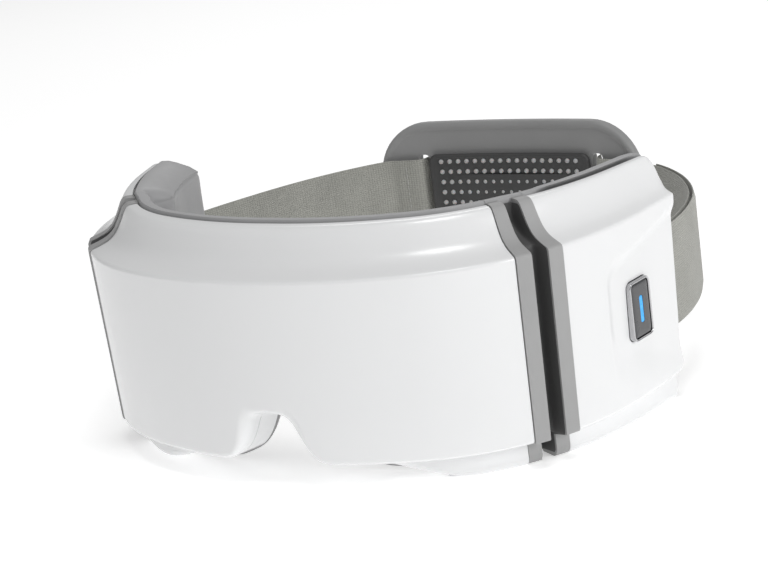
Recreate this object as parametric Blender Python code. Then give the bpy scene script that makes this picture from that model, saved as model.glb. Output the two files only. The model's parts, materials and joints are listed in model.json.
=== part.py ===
"""Eye massager mask: a rigid centre housing with two folding temple wings, a power button,
a fabric head strap and a rear head pad.

Lengths are in millimetres and are turned into metres by MM.  The mask faces -Y, +X is the
wearer's left, and +Z is up.  Most pieces follow the mask's outline: a place on it is given by
s, the distance along the outline from the nose (positive on the wearer's left), d, the depth
inward from the outline, and z, the height above the crease between bell and face.
"""
import math

import bmesh
import bpy
from mathutils import Matrix, Vector

MM = 0.001
GAP = 0.35                       # clearance kept between neighbouring pieces

# Outline of the crease, from the nose to the wing's end: (length, radius) of each arc
OUTLINE_ARCS = ((54.0, 140.0), (61.0, 75.0), (30.0, 123.0))
WING_END = 165.5                 # outline length at the rear edge of a wing
HINGE_INNER_EDGE = 88.9          # outline length where the centre housing ends
HINGE_OUTER_EDGE = 106.1         # outline length where the wing housing starts
HINGE_MIDDLE = (HINGE_INNER_EDGE + HINGE_OUTER_EDGE) / 2
FLANGE_WIDTH = 5.4               # each raised rubber flange, measured along the outline
FLANGE_RISE = 0.5                # how far a flange stands proud of the shells

# Housing depth, outline to inner wall, at the nose, the hinge and the wing's end
DEPTH_NOSE = 20.6
DEPTH_HINGE = 18.6
DEPTH_WING_END = 8.7

TOP = 13.9                       # height of the top land above the crease
FACE_BOTTOM = -62.0              # lower edge of the outer face
FACE_DRAFT = 1.7                 # how far the face leans inward at its lower edge
LIP_BOTTOM = -71.3               # flat underside that the mask stands on
SHELL_WALL = 2.0
BACK_WALL = 1.5
BACK_TOP = 6.0
LINER_WALL = 2.3
LINER_GAP = 0.5
LINER_TOP = 14.2
LINER_BOTTOM = -69.6
CENTRE_BULGE = 5.8               # how far the liner swells over the eyes
WING_BULGE = 4.6                 # how far the liner swells over the temples
WING_ROUNDING = 6.0              # outline length over which a wing's top corner rounds off

# Side panel and power button, on the wearer's left wing
PANEL_DEPTH = 0.9
BUTTON_S = 141.5
BUTTON_Z = -31.4
BEZEL_SIZE = (12.4, 20.4)
BUTTON_SIZE = (9.6, 17.6)
LIGHT_SIZE = (1.2, 8.4)

# Strap and rear pad, in plan: x, and y behind the nose
STRAP_THICKNESS = 1.4
STRAP_TOP = -11.5
STRAP_BOTTOM = -46.5
PAD_HALF_WIDTH = 56.0
PAD_HALF_HEIGHT = 32.0
PAD_CORNER = 21.0
PAD_FRONT = 197.0
PAD_THICKNESS = 4.5
PAD_RADIUS = 350.0
PAD_MIDDLE_Z = (STRAP_TOP + STRAP_BOTTOM) / 2
SLOT_X = 37.3
SLOT_WIDTH = 4.6
PANEL_HALF_WIDTH = 33.8

SIDES = ((1, "left"), (-1, "right"))
OVERALL_DEPTH = PAD_FRONT + PAD_THICKNESS + GAP + STRAP_THICKNESS

MATERIALS = {
    "shell_white": ((0.86, 0.87, 0.88), 0.28, 0.0),
    "liner_grey": ((0.38, 0.38, 0.39), 0.55, 0.0),
    "flange_grey": ((0.33, 0.33, 0.33), 0.6, 0.0),
    "bellows_dark": ((0.06, 0.06, 0.06), 0.7, 0.0),
    "chrome": ((0.8, 0.8, 0.8), 0.12, 1.0),
    "button_dark": ((0.06, 0.06, 0.065), 0.4, 0.0),
    "light_blue": ((0.05, 0.45, 0.8), 0.3, 0.0),
    "strap_fabric": ((0.24, 0.24, 0.21), 0.85, 0.0),
    "pad_grey": ((0.27, 0.27, 0.27), 0.6, 0.0),
    "nub_dark": ((0.09, 0.09, 0.09), 0.65, 0.0),
    "board_green": ((0.03, 0.22, 0.09), 0.5, 0.0),
    "steel": ((0.6, 0.6, 0.6), 0.35, 1.0),
    "airbag_film": ((0.5, 0.52, 0.55), 0.4, 0.0),
    "heater_film": ((0.35, 0.16, 0.04), 0.5, 0.0),
    "cell_wrap": ((0.1, 0.18, 0.4), 0.45, 0.0),
    "plastic_black": ((0.03, 0.03, 0.03), 0.5, 0.0),
    "tube_clear": ((0.7, 0.72, 0.74), 0.3, 0.0),
}


def clear_scene():
    """Removes every object the file opened with."""
    for obj in list(bpy.data.objects):
        bpy.data.objects.remove(obj, do_unlink=True)


def material(name):
    """Returns the named finish, made the first time it is asked for."""
    found = bpy.data.materials.get(name)
    if found:
        return found
    colour, roughness, metallic = MATERIALS[name]
    made = bpy.data.materials.new(name)
    made.use_nodes = True
    shader = made.node_tree.nodes["Principled BSDF"]
    shader.inputs["Base Color"].default_value = (*colour, 1.0)
    shader.inputs["Roughness"].default_value = roughness
    shader.inputs["Metallic"].default_value = metallic
    return made


def outline(s):
    """Returns x, y and heading of the crease outline at length s, for s of 0 or more."""
    x, y, heading = 0.0, 0.0, 0.0
    left = s
    for length, radius in OUTLINE_ARCS:
        run = min(left, length)
        turned = heading + run / radius
        x += radius * (math.sin(turned) - math.sin(heading))
        y += radius * (math.cos(heading) - math.cos(turned))
        heading = turned
        left -= run
    return x + left * math.cos(heading), y + left * math.sin(heading), heading


def depth_at(s):
    """Returns the housing depth at outline length s."""
    s = abs(s)
    if s < HINGE_MIDDLE:
        return DEPTH_NOSE + (DEPTH_HINGE - DEPTH_NOSE) * s / HINGE_MIDDLE
    share = (s - HINGE_MIDDLE) / (WING_END - HINGE_MIDDLE)
    return DEPTH_HINGE + (DEPTH_WING_END - DEPTH_HINGE) * share


def rounded_z(s, z):
    """Draws z in where a wing's rear corners round off."""
    share = (abs(s) - (WING_END - WING_ROUNDING)) / WING_ROUNDING
    if share <= 0:
        return z
    if z > 0:
        return z * math.sqrt(1 - 0.93 * min(share, 1.0) ** 2)
    middle = FACE_BOTTOM / 2
    if z < middle:
        return middle + (z - middle) * (1 - 0.12 * share ** 4)
    return z


def in_plan(x, y, z):
    """Turns x, y behind the nose and z above the crease into the part's own frame."""
    return Vector((x, y - OVERALL_DEPTH / 2, z - LIP_BOTTOM)) * MM


def on_outline(s, d, z):
    """Returns the point at outline length s, depth d and height z."""
    x, y, heading = outline(abs(s))
    x -= math.sin(heading) * d
    y += math.cos(heading) * d
    return in_plan(math.copysign(x, s), y, rounded_z(s, z))


def local_frame(s, d, z):
    """Returns the matrix whose X runs along the outline, Y points inward and Z up."""
    heading = math.copysign(outline(abs(s))[2], s)
    return Matrix.Translation(on_outline(s, d, z)) @ Matrix.Rotation(heading, 4, "Z")


def finish(name, bm, finish_name, smooth=True):
    """Makes the named object from a bmesh, with its faces pointing out."""
    bmesh.ops.recalc_face_normals(bm, faces=bm.faces)
    mesh = bpy.data.meshes.new(name)
    bm.to_mesh(mesh)
    bm.free()
    mesh.materials.append(material(finish_name))
    if smooth:
        mesh.shade_smooth()
        mesh.set_sharp_from_angle(angle=math.radians(32))
    obj = bpy.data.objects.new(name, mesh)
    bpy.context.collection.objects.link(obj)
    return obj


def loft(rings):
    """Returns a closed bmesh that runs through rings of equal length, capped at both ends."""
    bm = bmesh.new()
    loops = [[bm.verts.new(point) for point in ring] for ring in rings]
    for first, second in zip(loops, loops[1:]):
        count = len(first)
        for i in range(count):
            j = (i + 1) % count
            bm.faces.new((first[i], first[j], second[j], second[i]))
    bm.faces.new(loops[0])
    bm.faces.new(reversed(loops[-1]))
    return bm


def stations(start, end, step):
    """Returns evenly spaced values from start to end, no more than step apart."""
    count = max(1, math.ceil(abs(end - start) / step))
    return [start + (end - start) * i / count for i in range(count + 1)]


def sweep(name, start, end, step, section, finish_name):
    """Sweeps section(s), a loop of (d, z) points, along the outline from start to end."""
    rings = [[on_outline(s, d, z) for d, z in section(s)] for s in stations(start, end, step)]
    return finish(name, loft(rings), finish_name)


def thickened(path, wall):
    """Returns a closed loop: the path, and a parallel path that far to its left side."""
    points = [Vector(point) for point in path]
    runs = [(end - start).normalized() for start, end in zip(points, points[1:])]
    inner = []
    for point, before, after in zip(points, [runs[0]] + runs, runs + [runs[-1]]):
        middle = (before + after).normalized()
        left = Vector((-middle.y, middle.x))
        inner.append((point + left * wall / middle.dot(before))[:])
    return list(path) + inner[::-1]


def cutter(obj):
    """Marks an object as a tool that only cuts."""
    obj.hide_render = True
    obj.display_type = "WIRE"
    return obj


def combine(obj, other, operation):
    """Adds an exact Boolean with the other object, which is then only a tool."""
    modifier = obj.modifiers.new(operation.title(), "BOOLEAN")
    modifier.operation = operation
    modifier.solver = "EXACT"
    modifier.object = cutter(other)
    return obj


# --- profiles -------------------------------------------------------------------------------


def bell_path(s):
    """Outer profile from the top land, down the flaring bell, to the crease."""
    depth = depth_at(s)
    shape = ((1.0, TOP), (0.81, TOP - 0.3), (0.735, TOP - 1.8), (0.66, 9.4), (0.58, 6.8),
             (0.49, 4.6), (0.36, 2.8), (0.2, 1.6), (0.08, 0.9), (0.0, -0.2))
    return [(depth * share, z) for share, z in shape]


def face_path(s):
    """Outer profile from the crease down the face and round its lower edge."""
    depth = depth_at(s)
    return [(0.0, -2.0), (FACE_DRAFT * 0.5, FACE_BOTTOM / 2), (FACE_DRAFT, FACE_BOTTOM + 1.9),
            (FACE_DRAFT + 0.5, FACE_BOTTOM + 0.6), (FACE_DRAFT + 1.6, FACE_BOTTOM),
            (depth * 0.42, FACE_BOTTOM - 0.9)]


def shell_section(s):
    """Section of a white outer shell: bell, face and turned-in lower edge."""
    return thickened(bell_path(s) + face_path(s), SHELL_WALL)


def lip_path(s):
    """Profile of the lower lip, round its flat underside to the inner wall."""
    depth = depth_at(s)
    start = depth * 0.46
    return [(start, FACE_BOTTOM - 2.9), (start, LIP_BOTTOM + 2.5), (start + 0.9, LIP_BOTTOM + 0.7),
            (start + 2.2, LIP_BOTTOM), (depth - 1.2, LIP_BOTTOM), (depth, LIP_BOTTOM + 1.2)]


def back_section(s):
    """Section of a housing's inner shell: lower lip and inner wall."""
    depth = depth_at(s)
    return thickened(lip_path(s) + [(depth, -30.0), (depth, BACK_TOP)], BACK_WALL)


def swell(z, s, start, end, height):
    """Returns how far a liner stands proud at (s, z): none at its edges, most in the middle."""
    up = max(0.0, min(1.0, (LINER_TOP - 5.0 - z) / 12.0))
    down = max(0.0, min(1.0, (z - LINER_BOTTOM - 2.0) / 12.0))
    near = max(0.0, min(1.0, (s - start) / 9.0))
    far = max(0.0, min(1.0, (end - s) / 9.0))
    return height * math.prod(t * t * (3 - 2 * t) for t in (up, down, near, far))


def liner_section(start, end, height):
    """Returns the section function of a soft liner that swells between start and end."""
    levels = [LINER_TOP, 9.2, 6.0, 1.0, -3.0, -14.0, -31.0, -48.0, -56.0, -60.0, -64.0, LINER_BOTTOM]

    def section(s):
        inner = []
        outer = []
        for z in levels:
            base = depth_at(s) + LINER_GAP + swell(z, abs(s), start, end, height)
            inner.append((base, z))
            outer.append((base + LINER_WALL, z))
        return inner + outer[::-1]

    return section


def flange_section(s):
    """Full section of a hinge flange: a rubber bulkhead just proud of the shells."""
    depth = depth_at(s)
    bell = [(d - FLANGE_RISE * (1 - d / depth * 0.5), z + FLANGE_RISE * 0.8) for d, z in bell_path(s)]
    face = [(d - FLANGE_RISE, z) for d, z in face_path(s)[:-1]]
    lip = lip_path(s)
    inner = depth + LINER_GAP + LINER_WALL
    return bell + face + lip + [(inner, LINER_BOTTOM), (inner, TOP)]


def bellows_section(s):
    """Section of the rubber web at the bottom of a hinge groove."""
    depth = depth_at(s)
    path = [(depth, 2.0), (depth * 0.78, 1.0), (depth * 0.62, -5.0), (depth * 0.55, -14.0),
            (depth * 0.55, -52.0), (depth * 0.64, -61.0), (depth * 0.8, -66.0), (depth, -67.5)]
    return thickened(path, 2.2)


def slab_section(front, back, low, high):
    """Returns the section function of a flat layer behind the inner wall."""
    def section(s):
        depth = depth_at(s)
        return [(depth + front, high), (depth + front, low), (depth + back, low), (depth + back, high)]
    return section


# --- small solids ---------------------------------------------------------------------------


def box(name, size, s, d, z, finish_name):
    """A box whose sides run along the outline, inward and up, centred at (s, d, z)."""
    bm = bmesh.new()
    bmesh.ops.create_cube(bm, size=MM)
    bmesh.ops.scale(bm, vec=size, verts=bm.verts)
    obj = finish(name, bm, finish_name, smooth=False)
    obj.matrix_world = local_frame(s, d, z)
    return obj


AXIS_TURN = {
    "inward": Matrix.Rotation(-math.pi / 2, 4, "X"),
    "to_nose": Matrix.Rotation(-math.pi / 2, 4, "Y"),
    "up": Matrix.Identity(4),
}


def turned(name, profile, s, d, z, axis, finish_name, sides=20):
    """A turned piece from (radius, height) steps along one local axis, based at (s, d, z)."""
    rings = []
    for radius, height in profile:
        ring = []
        for i in range(sides):
            angle = 2 * math.pi * i / sides
            ring.append(Vector((radius * math.cos(angle), radius * math.sin(angle), height)) * MM)
        rings.append(ring)
    obj = finish(name, loft(rings), finish_name)
    obj.matrix_world = local_frame(s, d, z) @ AXIS_TURN[axis]
    return obj


def rounded_block(name, size, corner, front, back, s, z, finish_name):
    """A block with a rounded outline in the plane of the wing's side, from depth front to back."""
    half_width, half_height = size[0] / 2, size[1] / 2
    rings = []
    for depth in (front, back):
        ring = []
        for quarter in range(4):
            sign_x = (1, -1, -1, 1)[quarter]
            sign_z = (1, 1, -1, -1)[quarter]
            for step in range(5):
                angle = math.pi / 2 * (quarter + step / 4)
                x = sign_x * (half_width - corner) + corner * math.cos(angle)
                up = sign_z * (half_height - corner) + corner * math.sin(angle)
                ring.append(Vector((x, depth, up)) * MM)
        rings.append(ring)
    obj = finish(name, loft(rings), finish_name)
    obj.matrix_world = local_frame(s, 0, z)
    return obj


def smooth_path(points, steps):
    """Returns a smooth curve through the points, steps to each span."""
    path = []
    last = len(points) - 1
    for i in range(last):
        p0, p1 = Vector(points[max(i - 1, 0)]), Vector(points[i])
        p2, p3 = Vector(points[i + 1]), Vector(points[min(i + 2, last)])
        for k in range(steps):
            t = k / steps
            path.append(0.5 * (2 * p1 + (p2 - p0) * t + (2 * p0 - 5 * p1 + 4 * p2 - p3) * t ** 2
                               + (3 * p1 - p0 - 3 * p2 + p3) * t ** 3))
    path.append(Vector(points[last]))
    return path


def tube(name, points, radius, finish_name):
    """A soft tube through points in the part's own frame."""
    curve = bpy.data.curves.new(name, "CURVE")
    curve.dimensions = "3D"
    curve.bevel_depth = radius * MM
    curve.bevel_resolution = 2
    curve.use_fill_caps = True
    spline = curve.splines.new("POLY")
    spline.points.add(len(points) - 1)
    for target, point in zip(spline.points, points):
        target.co = (*point, 1.0)
    curve.materials.append(material(finish_name))
    obj = bpy.data.objects.new(name, curve)
    bpy.context.collection.objects.link(obj)
    return obj


# --- centre housing -------------------------------------------------------------------------


SCREWS = ((31.0, -5.2), (76.0, -46.0))
SCREW_SHANK = 1.1
AIR_INLET = (46.0, -14.0)
STUB_REACH = 5.2
PORT_S = 64.0
PORT_D = 14.3
PUMP_S = 62.0
PUMP_D = 10.6
PUMP_Z = -20.0
TUBE_D_PUMP = 12.6
TUBE_D_BAG = 15.8
TUBE_Z = 0.0
TUBE_RADIUS = 1.3


NOSE_OUTLINE = ((0.0, -44.0), (4.2, -44.9), (7.0, -47.2), (9.6, -52.5), (12.2, -56.6), (15.6, -59.9),
                (20.0, -62.4), (31.0, -66.8), (44.0, -70.6), (52.0, -74.0))
NOSE_WIDENING = ((-6.0, 1.0, 0.0), (2.0, 1.0, 0.0), (26.0, 1.02, 0.2), (60.0, 1.3, 4.0))


def between(value, points):
    """Reads a straight-line graph of (value, result) points."""
    for (low, first), (high, second) in zip(points, points[1:]):
        if value <= high:
            return first + (second - first) * max(0.0, value - low) / (high - low)
    return points[-1][1]


def nose_height(x, y):
    """Returns the height of the nose arch at x, y in plan."""
    widen = between(y, [(place, factor) for place, factor, _ in NOSE_WIDENING])
    lift = between(y, [(place, rise) for place, _, rise in NOSE_WIDENING])
    return between(abs(x) / widen, NOSE_OUTLINE) + lift


def nose_cutter():
    """The nose arch, which widens towards the wearer and flares into the lower lip."""
    right = list(NOSE_OUTLINE) + [(52.0, -84.0)]
    loop = right + [(-x, z) for x, z in reversed(right) if x > 0]
    rings = []
    for y, widen, lift in NOSE_WIDENING:
        rings.append([in_plan(x * widen, y, z + lift) for x, z in loop])
    return cutter(finish("nose_cutter", loft(rings), "shell_white", smooth=False))


def nose_bridge():
    """The wall that closes the housing round the nose arch, between the outer and inner shells."""
    rings = []
    for s in stations(-36.0, 36.0, 2.0):
        depth = depth_at(s)
        front = SHELL_WALL + FACE_DRAFT + GAP
        if abs(s) > 17.0:
            front = depth * 0.46 + BACK_WALL + GAP
        ring = []
        for d in (front, depth - BACK_WALL - GAP):
            x, y, heading = outline(abs(s))
            height = nose_height(x - math.sin(heading) * d, y + math.cos(heading) * d)
            ring += [(d, height), (d, height + 2.2)]
        rings.append([on_outline(s, *ring[i]) for i in (0, 2, 3, 1)])
    return finish("nose_bridge", loft(rings), "shell_white")


def centre_shell(nose):
    """The white outer shell between the hinges, with its four screw bosses."""
    edge = HINGE_INNER_EDGE
    shell = sweep("front_shell", -edge, edge, 6.0, shell_section, "shell_white")
    combine(shell, nose, "DIFFERENCE")
    for side in (1, -1):
        for number, (s, z) in enumerate(SCREWS):
            depth = depth_at(s)
            boss = turned(f"boss_tool_{side}_{number}", ((3.0, 0.0), (3.0, depth - BACK_WALL - GAP - 1.2)),
                          side * s, 1.2, z, "inward", "shell_white", 16)
            combine(shell, boss, "UNION")
            pilot = turned(f"pilot_tool_{side}_{number}",
                           ((SCREW_SHANK + GAP, 0.0), (SCREW_SHANK + GAP, 14.0)),
                           side * s, depth - 9.0, z, "inward", "steel", 12)
            combine(shell, pilot, "DIFFERENCE")
    return shell


def centre_back(nose):
    """The inner shell of the centre housing, holed for screws, air inlets and the charging port."""
    edge = HINGE_INNER_EDGE
    back = sweep("rear_shell", -edge, edge, 6.0, back_section, "shell_white")
    combine(back, nose, "DIFFERENCE")
    for side in (1, -1):
        for number, (s, z) in enumerate(SCREWS):
            hole = turned(f"hole_tool_{side}_{number}", ((SCREW_SHANK + GAP, 0.0), (SCREW_SHANK + GAP, 6.0)),
                          side * s, depth_at(s) - 4.0, z, "inward", "steel", 12)
            combine(back, hole, "DIFFERENCE")
        s, z = AIR_INLET
        hole = turned(f"inlet_tool_{side}", ((2.2, 0.0), (2.2, 6.0)), side * s, depth_at(s) - 4.0, z,
                      "inward", "steel", 12)
        combine(back, hole, "DIFFERENCE")
    port_hole = box("port_tool", (9.6, 3.8, 8.0), PORT_S, PORT_D, LIP_BOTTOM, "steel")
    combine(back, port_hole, "DIFFERENCE")
    return back


def centre_liner(nose):
    """The soft face liner, from its rim round the top opening to its lower edge."""
    edge = HINGE_INNER_EDGE
    section = liner_section(-edge, edge - 3.0, CENTRE_BULGE)
    liner = sweep("face_liner", -edge, edge, 5.0, section, "liner_grey")
    combine(liner, nose, "DIFFERENCE")
    return liner


def charging_port():
    """A small socket whose mouth opens in the underside of the lower lip."""
    port = box("charging_port", (8.9, 3.1, 7.2), PORT_S, PORT_D, LIP_BOTTOM + 3.8, "steel")
    mouth = box("mouth_tool", (8.1, 2.3, 7.0), PORT_S, PORT_D, LIP_BOTTOM + 1.8, "steel")
    tongue = box("tongue_tool", (6.4, 0.7, 6.4), PORT_S, PORT_D, LIP_BOTTOM + 3.9, "steel")
    combine(port, mouth, "DIFFERENCE")
    return combine(port, tongue, "UNION")


def centre_electronics():
    """Board, pump, valve, manifold, motors and the layers behind the liner."""
    board_depth = 14.0
    box("main_board", (44.0, 1.6, 26.0), 0.0, board_depth, -21.0, "board_green")
    box("board_chip", (11.0, 1.4, 11.0), 0.0, board_depth - 1.5 - GAP, -18.0, "plastic_black")
    turned("air_pump", ((6.0, -13.0), (6.0, 6.0), (5.0, 6.6), (5.0, 11.0), (1.5, 11.0), (1.5, 13.0)),
           PUMP_S, PUMP_D, PUMP_Z, "to_nose", "steel")
    box("solenoid_valve", (26.0, 9.0, 9.0), -PUMP_S, PUMP_D, PUMP_Z, "plastic_black")
    box("air_manifold", (16.0, 5.6, 4.0), 0.0, (TUBE_D_PUMP + TUBE_D_BAG) / 2, TUBE_Z, "plastic_black")
    for side, word in SIDES:
        turned(f"vibration_motor_{word}", ((4.0, 0.0), (4.0, 8.0), (0.9, 8.0), (0.9, 11.0)),
               side * 38.0, 9.8, -52.0, "up", "steel", 16)
        s, z = AIR_INLET
        bag = sweep(f"airbag_{word}", side * 16.0, side * 72.0, 7.0, slab_section(0.8, 3.0, -42.0, -9.5),
                    "airbag_film")
        stub = turned(f"stub_tool_{word}", ((1.7, 0.0), (1.7, 7.0)), side * s, depth_at(s) - STUB_REACH, z,
                      "inward", "airbag_film", 12)
        combine(bag, stub, "UNION")
        sweep(f"heating_film_{word}", side * 20.0, side * 68.0, 8.0,
              slab_section(3.4, 3.8, -39.0, -12.0), "heater_film")


def air_tubes():
    """Soft tubes from pump and valve to the manifold, and from the manifold to each airbag."""
    over_boss = ((38.5, -3.2), (34.5, -0.2), (27.0, TUBE_Z), (18.0, TUBE_Z))
    for side, name in ((1, "pump_tube"), (-1, "valve_tube")):
        nozzle = local_frame(side * PUMP_S, PUMP_D, PUMP_Z)
        leave = [nozzle @ Vector((-side * reach * MM, 0, 0)) for reach in (13.0 + GAP, 14.4, 15.8)]
        rise = ((41.6, 12.0, -16.0), (39.6, TUBE_D_PUMP, -9.5))
        route = [on_outline(side * s, d, z) for s, d, z in rise]
        route += [on_outline(side * s, TUBE_D_PUMP, z) for s, z in over_boss]
        route.append(in_plan(side * (8.0 + GAP), TUBE_D_PUMP, TUBE_Z))
        tube(name, smooth_path(leave + route, 4), TUBE_RADIUS, "tube_clear")
    for side, word in SIDES:
        s, z = AIR_INLET
        stub_end = depth_at(s) - STUB_REACH - GAP
        bend = ((s, stub_end, z), (s, stub_end - 1.6, z + 0.4), (45.4, 13.2, -8.5), (43.6, 13.8, -3.0),
                (39.8, 14.9, 0.0))
        route = [on_outline(side * place, d, up) for place, d, up in bend]
        route += [on_outline(side * place, TUBE_D_BAG, up) for place, up in over_boss[1:]]
        route.append(in_plan(side * (8.0 + GAP), TUBE_D_BAG, TUBE_Z))
        tube(f"airbag_tube_{word}", smooth_path(route, 4), TUBE_RADIUS, "tube_clear")


def housing_screws():
    """The four screws that hold the centre housing together."""
    pieces = []
    for side, word in SIDES:
        for (s, z), place in zip(SCREWS, ("upper", "lower")):
            profile = ((SCREW_SHANK, 0.0), (SCREW_SHANK, 8.0), (2.3, 8.0), (2.3, 8.3), (2.0, 9.4))
            pieces.append(turned(f"screw_{place}_{word}", profile, side * s, depth_at(s) - 8.0 + GAP, z,
                                 "inward", "steel", 14))
    return pieces


# --- hinges ---------------------------------------------------------------------------------


def hinge(side, word):
    """The two flanges of one fold, and the rubber web between them."""
    inner = HINGE_INNER_EDGE + GAP
    outer = HINGE_OUTER_EDGE - GAP
    centre_flange = sweep(f"centre_flange_{word}", side * inner, side * (inner + FLANGE_WIDTH), 3.0,
                          flange_section, "flange_grey")
    wing_flange = sweep(f"wing_flange_{word}", side * (outer - FLANGE_WIDTH), side * outer, 3.0,
                        flange_section, "flange_grey")
    web = sweep(f"fold_bellows_{word}", side * (inner + FLANGE_WIDTH + GAP),
                side * (outer - FLANGE_WIDTH - GAP), 2.0, bellows_section, "bellows_dark")
    return centre_flange, wing_flange, web


# --- wings ----------------------------------------------------------------------------------


def panel_cutter(side, word):
    """The shallow side panel, open at the wing's rear edge."""
    def section(s):
        share = (abs(s) - 124.5) / (WING_END + 4.0 - 124.5)
        rise = min(1.0, math.sqrt(max(0.0, abs(s) - 124.4)) / 2.4)
        high = -14.5 + 9.5 * share - 6.0 * (1 - rise)
        low = -52.0 - 5.5 * share + 5.0 * (1 - rise)
        return [(-4.0, high + 0.6), (PANEL_DEPTH, high - 0.8), (PANEL_DEPTH, low + 0.8), (-4.0, low - 0.6)]
    return sweep(f"panel_tool_{word}", side * 124.5, side * (WING_END + 4.0), 4.0, section, "shell_white")


def wing_shell(side, word):
    """The white outer shell of one wing, with its sunk side panel."""
    shell = sweep(f"wing_shell_{word}", side * HINGE_OUTER_EDGE, side * WING_END, 4.0, shell_section,
                  "shell_white")
    combine(shell, panel_cutter(side, word), "DIFFERENCE")
    if side > 0:
        window = rounded_block("window_tool", [v + 2 * GAP for v in BEZEL_SIZE], 2.6, -3.0, 6.0,
                               BUTTON_S, BUTTON_Z, "chrome")
        combine(shell, window, "DIFFERENCE")
    return shell


def wing_back(side, word):
    """The inner shell of one wing, closed at the rear apart from the strap's way out."""
    back = sweep(f"wing_back_{word}", side * HINGE_OUTER_EDGE, side * WING_END, 4.0, back_section,
                 "shell_white")

    def wall_section(s):
        inner = depth_at(s) - 0.9
        front = SHELL_WALL + FACE_DRAFT + GAP
        return [(front, -1.5), (front, -56.0), (inner, -56.0), (inner, -1.5)]

    wall = sweep(f"end_wall_tool_{word}", side * (WING_END - 3.0), side * (WING_END - 0.8), 3.0,
                 wall_section, "shell_white")
    combine(back, wall, "UNION")
    slot = box(f"strap_slot_tool_{word}", (9.0, 4.4, STRAP_TOP - STRAP_BOTTOM + 2.4),
               side * (WING_END - 2.0), 4.9, (STRAP_TOP + STRAP_BOTTOM) / 2, "steel")
    return combine(back, slot, "DIFFERENCE")


def wing_liner(side, word):
    """The soft temple liner on the inner face of one wing."""
    section = liner_section(HINGE_OUTER_EDGE + 3.0, WING_END - 2.0, WING_BULGE)
    return sweep(f"temple_liner_{word}", side * HINGE_OUTER_EDGE, side * WING_END, 4.0, section,
                 "liner_grey")


def wing_inside(side, word):
    """What one wing holds: temple airbag, speaker, strap bar and, on the right, the battery."""
    bag = sweep(f"temple_airbag_{word}", side * 120.0, side * 150.0, 6.0,
                slab_section(0.6, 2.6, -46.0, -8.0), "airbag_film")
    speaker_s = 118.0
    speaker = turned(f"speaker_{word}", ((6.0, 0.0), (6.0, 2.0), (8.0, 2.6), (8.0, 4.4)),
                     side * speaker_s, depth_at(speaker_s) - BACK_WALL - 4.4 - 1.3, -24.0, "inward",
                     "plastic_black")
    bar = turned(f"strap_bar_{word}", ((1.4, 0.0), (1.4, 44.0)), side * 151.0, 6.0, -50.0, "up", "steel", 12)
    pieces = [bag, speaker, bar]
    if side < 0:
        pieces.append(box("battery", (20.0, 4.2, 34.0), -137.0, 6.5, -29.0, "cell_wrap"))
    return pieces


def power_button():
    """Bezel, sprung button with its light bar, switch and button board, on the left wing."""
    bezel = rounded_block("button_bezel", BEZEL_SIZE, 2.2, -0.5, 3.6, BUTTON_S, BUTTON_Z, "chrome")
    hollow = rounded_block("bezel_tool", [v + 2 * GAP for v in BUTTON_SIZE], 1.4, -3.0, 6.0,
                           BUTTON_S, BUTTON_Z, "chrome")
    combine(bezel, hollow, "DIFFERENCE")
    button = rounded_block("power_button", BUTTON_SIZE, 1.1, 0.0, 3.4, BUTTON_S, BUTTON_Z, "button_dark")
    slot = rounded_block("light_slot_tool", [v + 2 * GAP for v in LIGHT_SIZE], 0.9, -3.0, 1.8,
                         BUTTON_S, BUTTON_Z, "button_dark")
    combine(button, slot, "DIFFERENCE")
    light = rounded_block("light_bar", LIGHT_SIZE, 0.55, 0.0, 1.8 - GAP, BUTTON_S, BUTTON_Z, "light_blue")
    switch = box("tact_switch", (4.5, 1.4, 4.5), BUTTON_S, 5.0, BUTTON_Z, "plastic_black")
    board = box("button_board", (12.0, 1.2, 24.0), BUTTON_S, 5.7 + GAP + 0.6, BUTTON_Z, "board_green")
    return bezel, button, light, switch, board


# --- strap and rear pad ---------------------------------------------------------------------


STRAP_PLAN_PAD = ((53.0, 190.4), (46.0, 192.3), (41.4, 192.9), (38.4, 194.0), (37.1, 196.8), (36.9, 199.9))
STRAP_PLAN_LEFT = ((97.5, 96.5), (98.3, 102.5), (98.6, 113.0), (97.9, 124.0), (95.6, 137.0), (91.6, 149.5),
                   (85.0, 162.0), (76.8, 173.0), (66.0, 183.2)) + STRAP_PLAN_PAD
STRAP_PLAN_RIGHT = ((98.5, 96.5), (99.2, 102.5), (94.8, 118.0), (87.0, 138.0), (77.5, 158.0),
                    (66.0, 176.0)) + STRAP_PLAN_PAD


def path_normals(path):
    """Returns the unit normal on the left side of each point of a plan path."""
    normals = []
    for i in range(len(path)):
        along = (path[min(i + 1, len(path) - 1)] - path[max(i - 1, 0)]).normalized()
        normals.append(Vector((-along.y, along.x)))
    return normals


def ribbon(name, path, low, high, finish_name):
    """A flat band of the strap's thickness that stands on edge along a plan path."""
    rings = []
    for point, normal in zip(path, path_normals(path)):
        half = normal * STRAP_THICKNESS / 2
        one, two = point + half, point - half
        rings.append([in_plan(*one, high), in_plan(*one, low), in_plan(*two, low), in_plan(*two, high)])
    return finish(name, loft(rings), finish_name)


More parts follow.
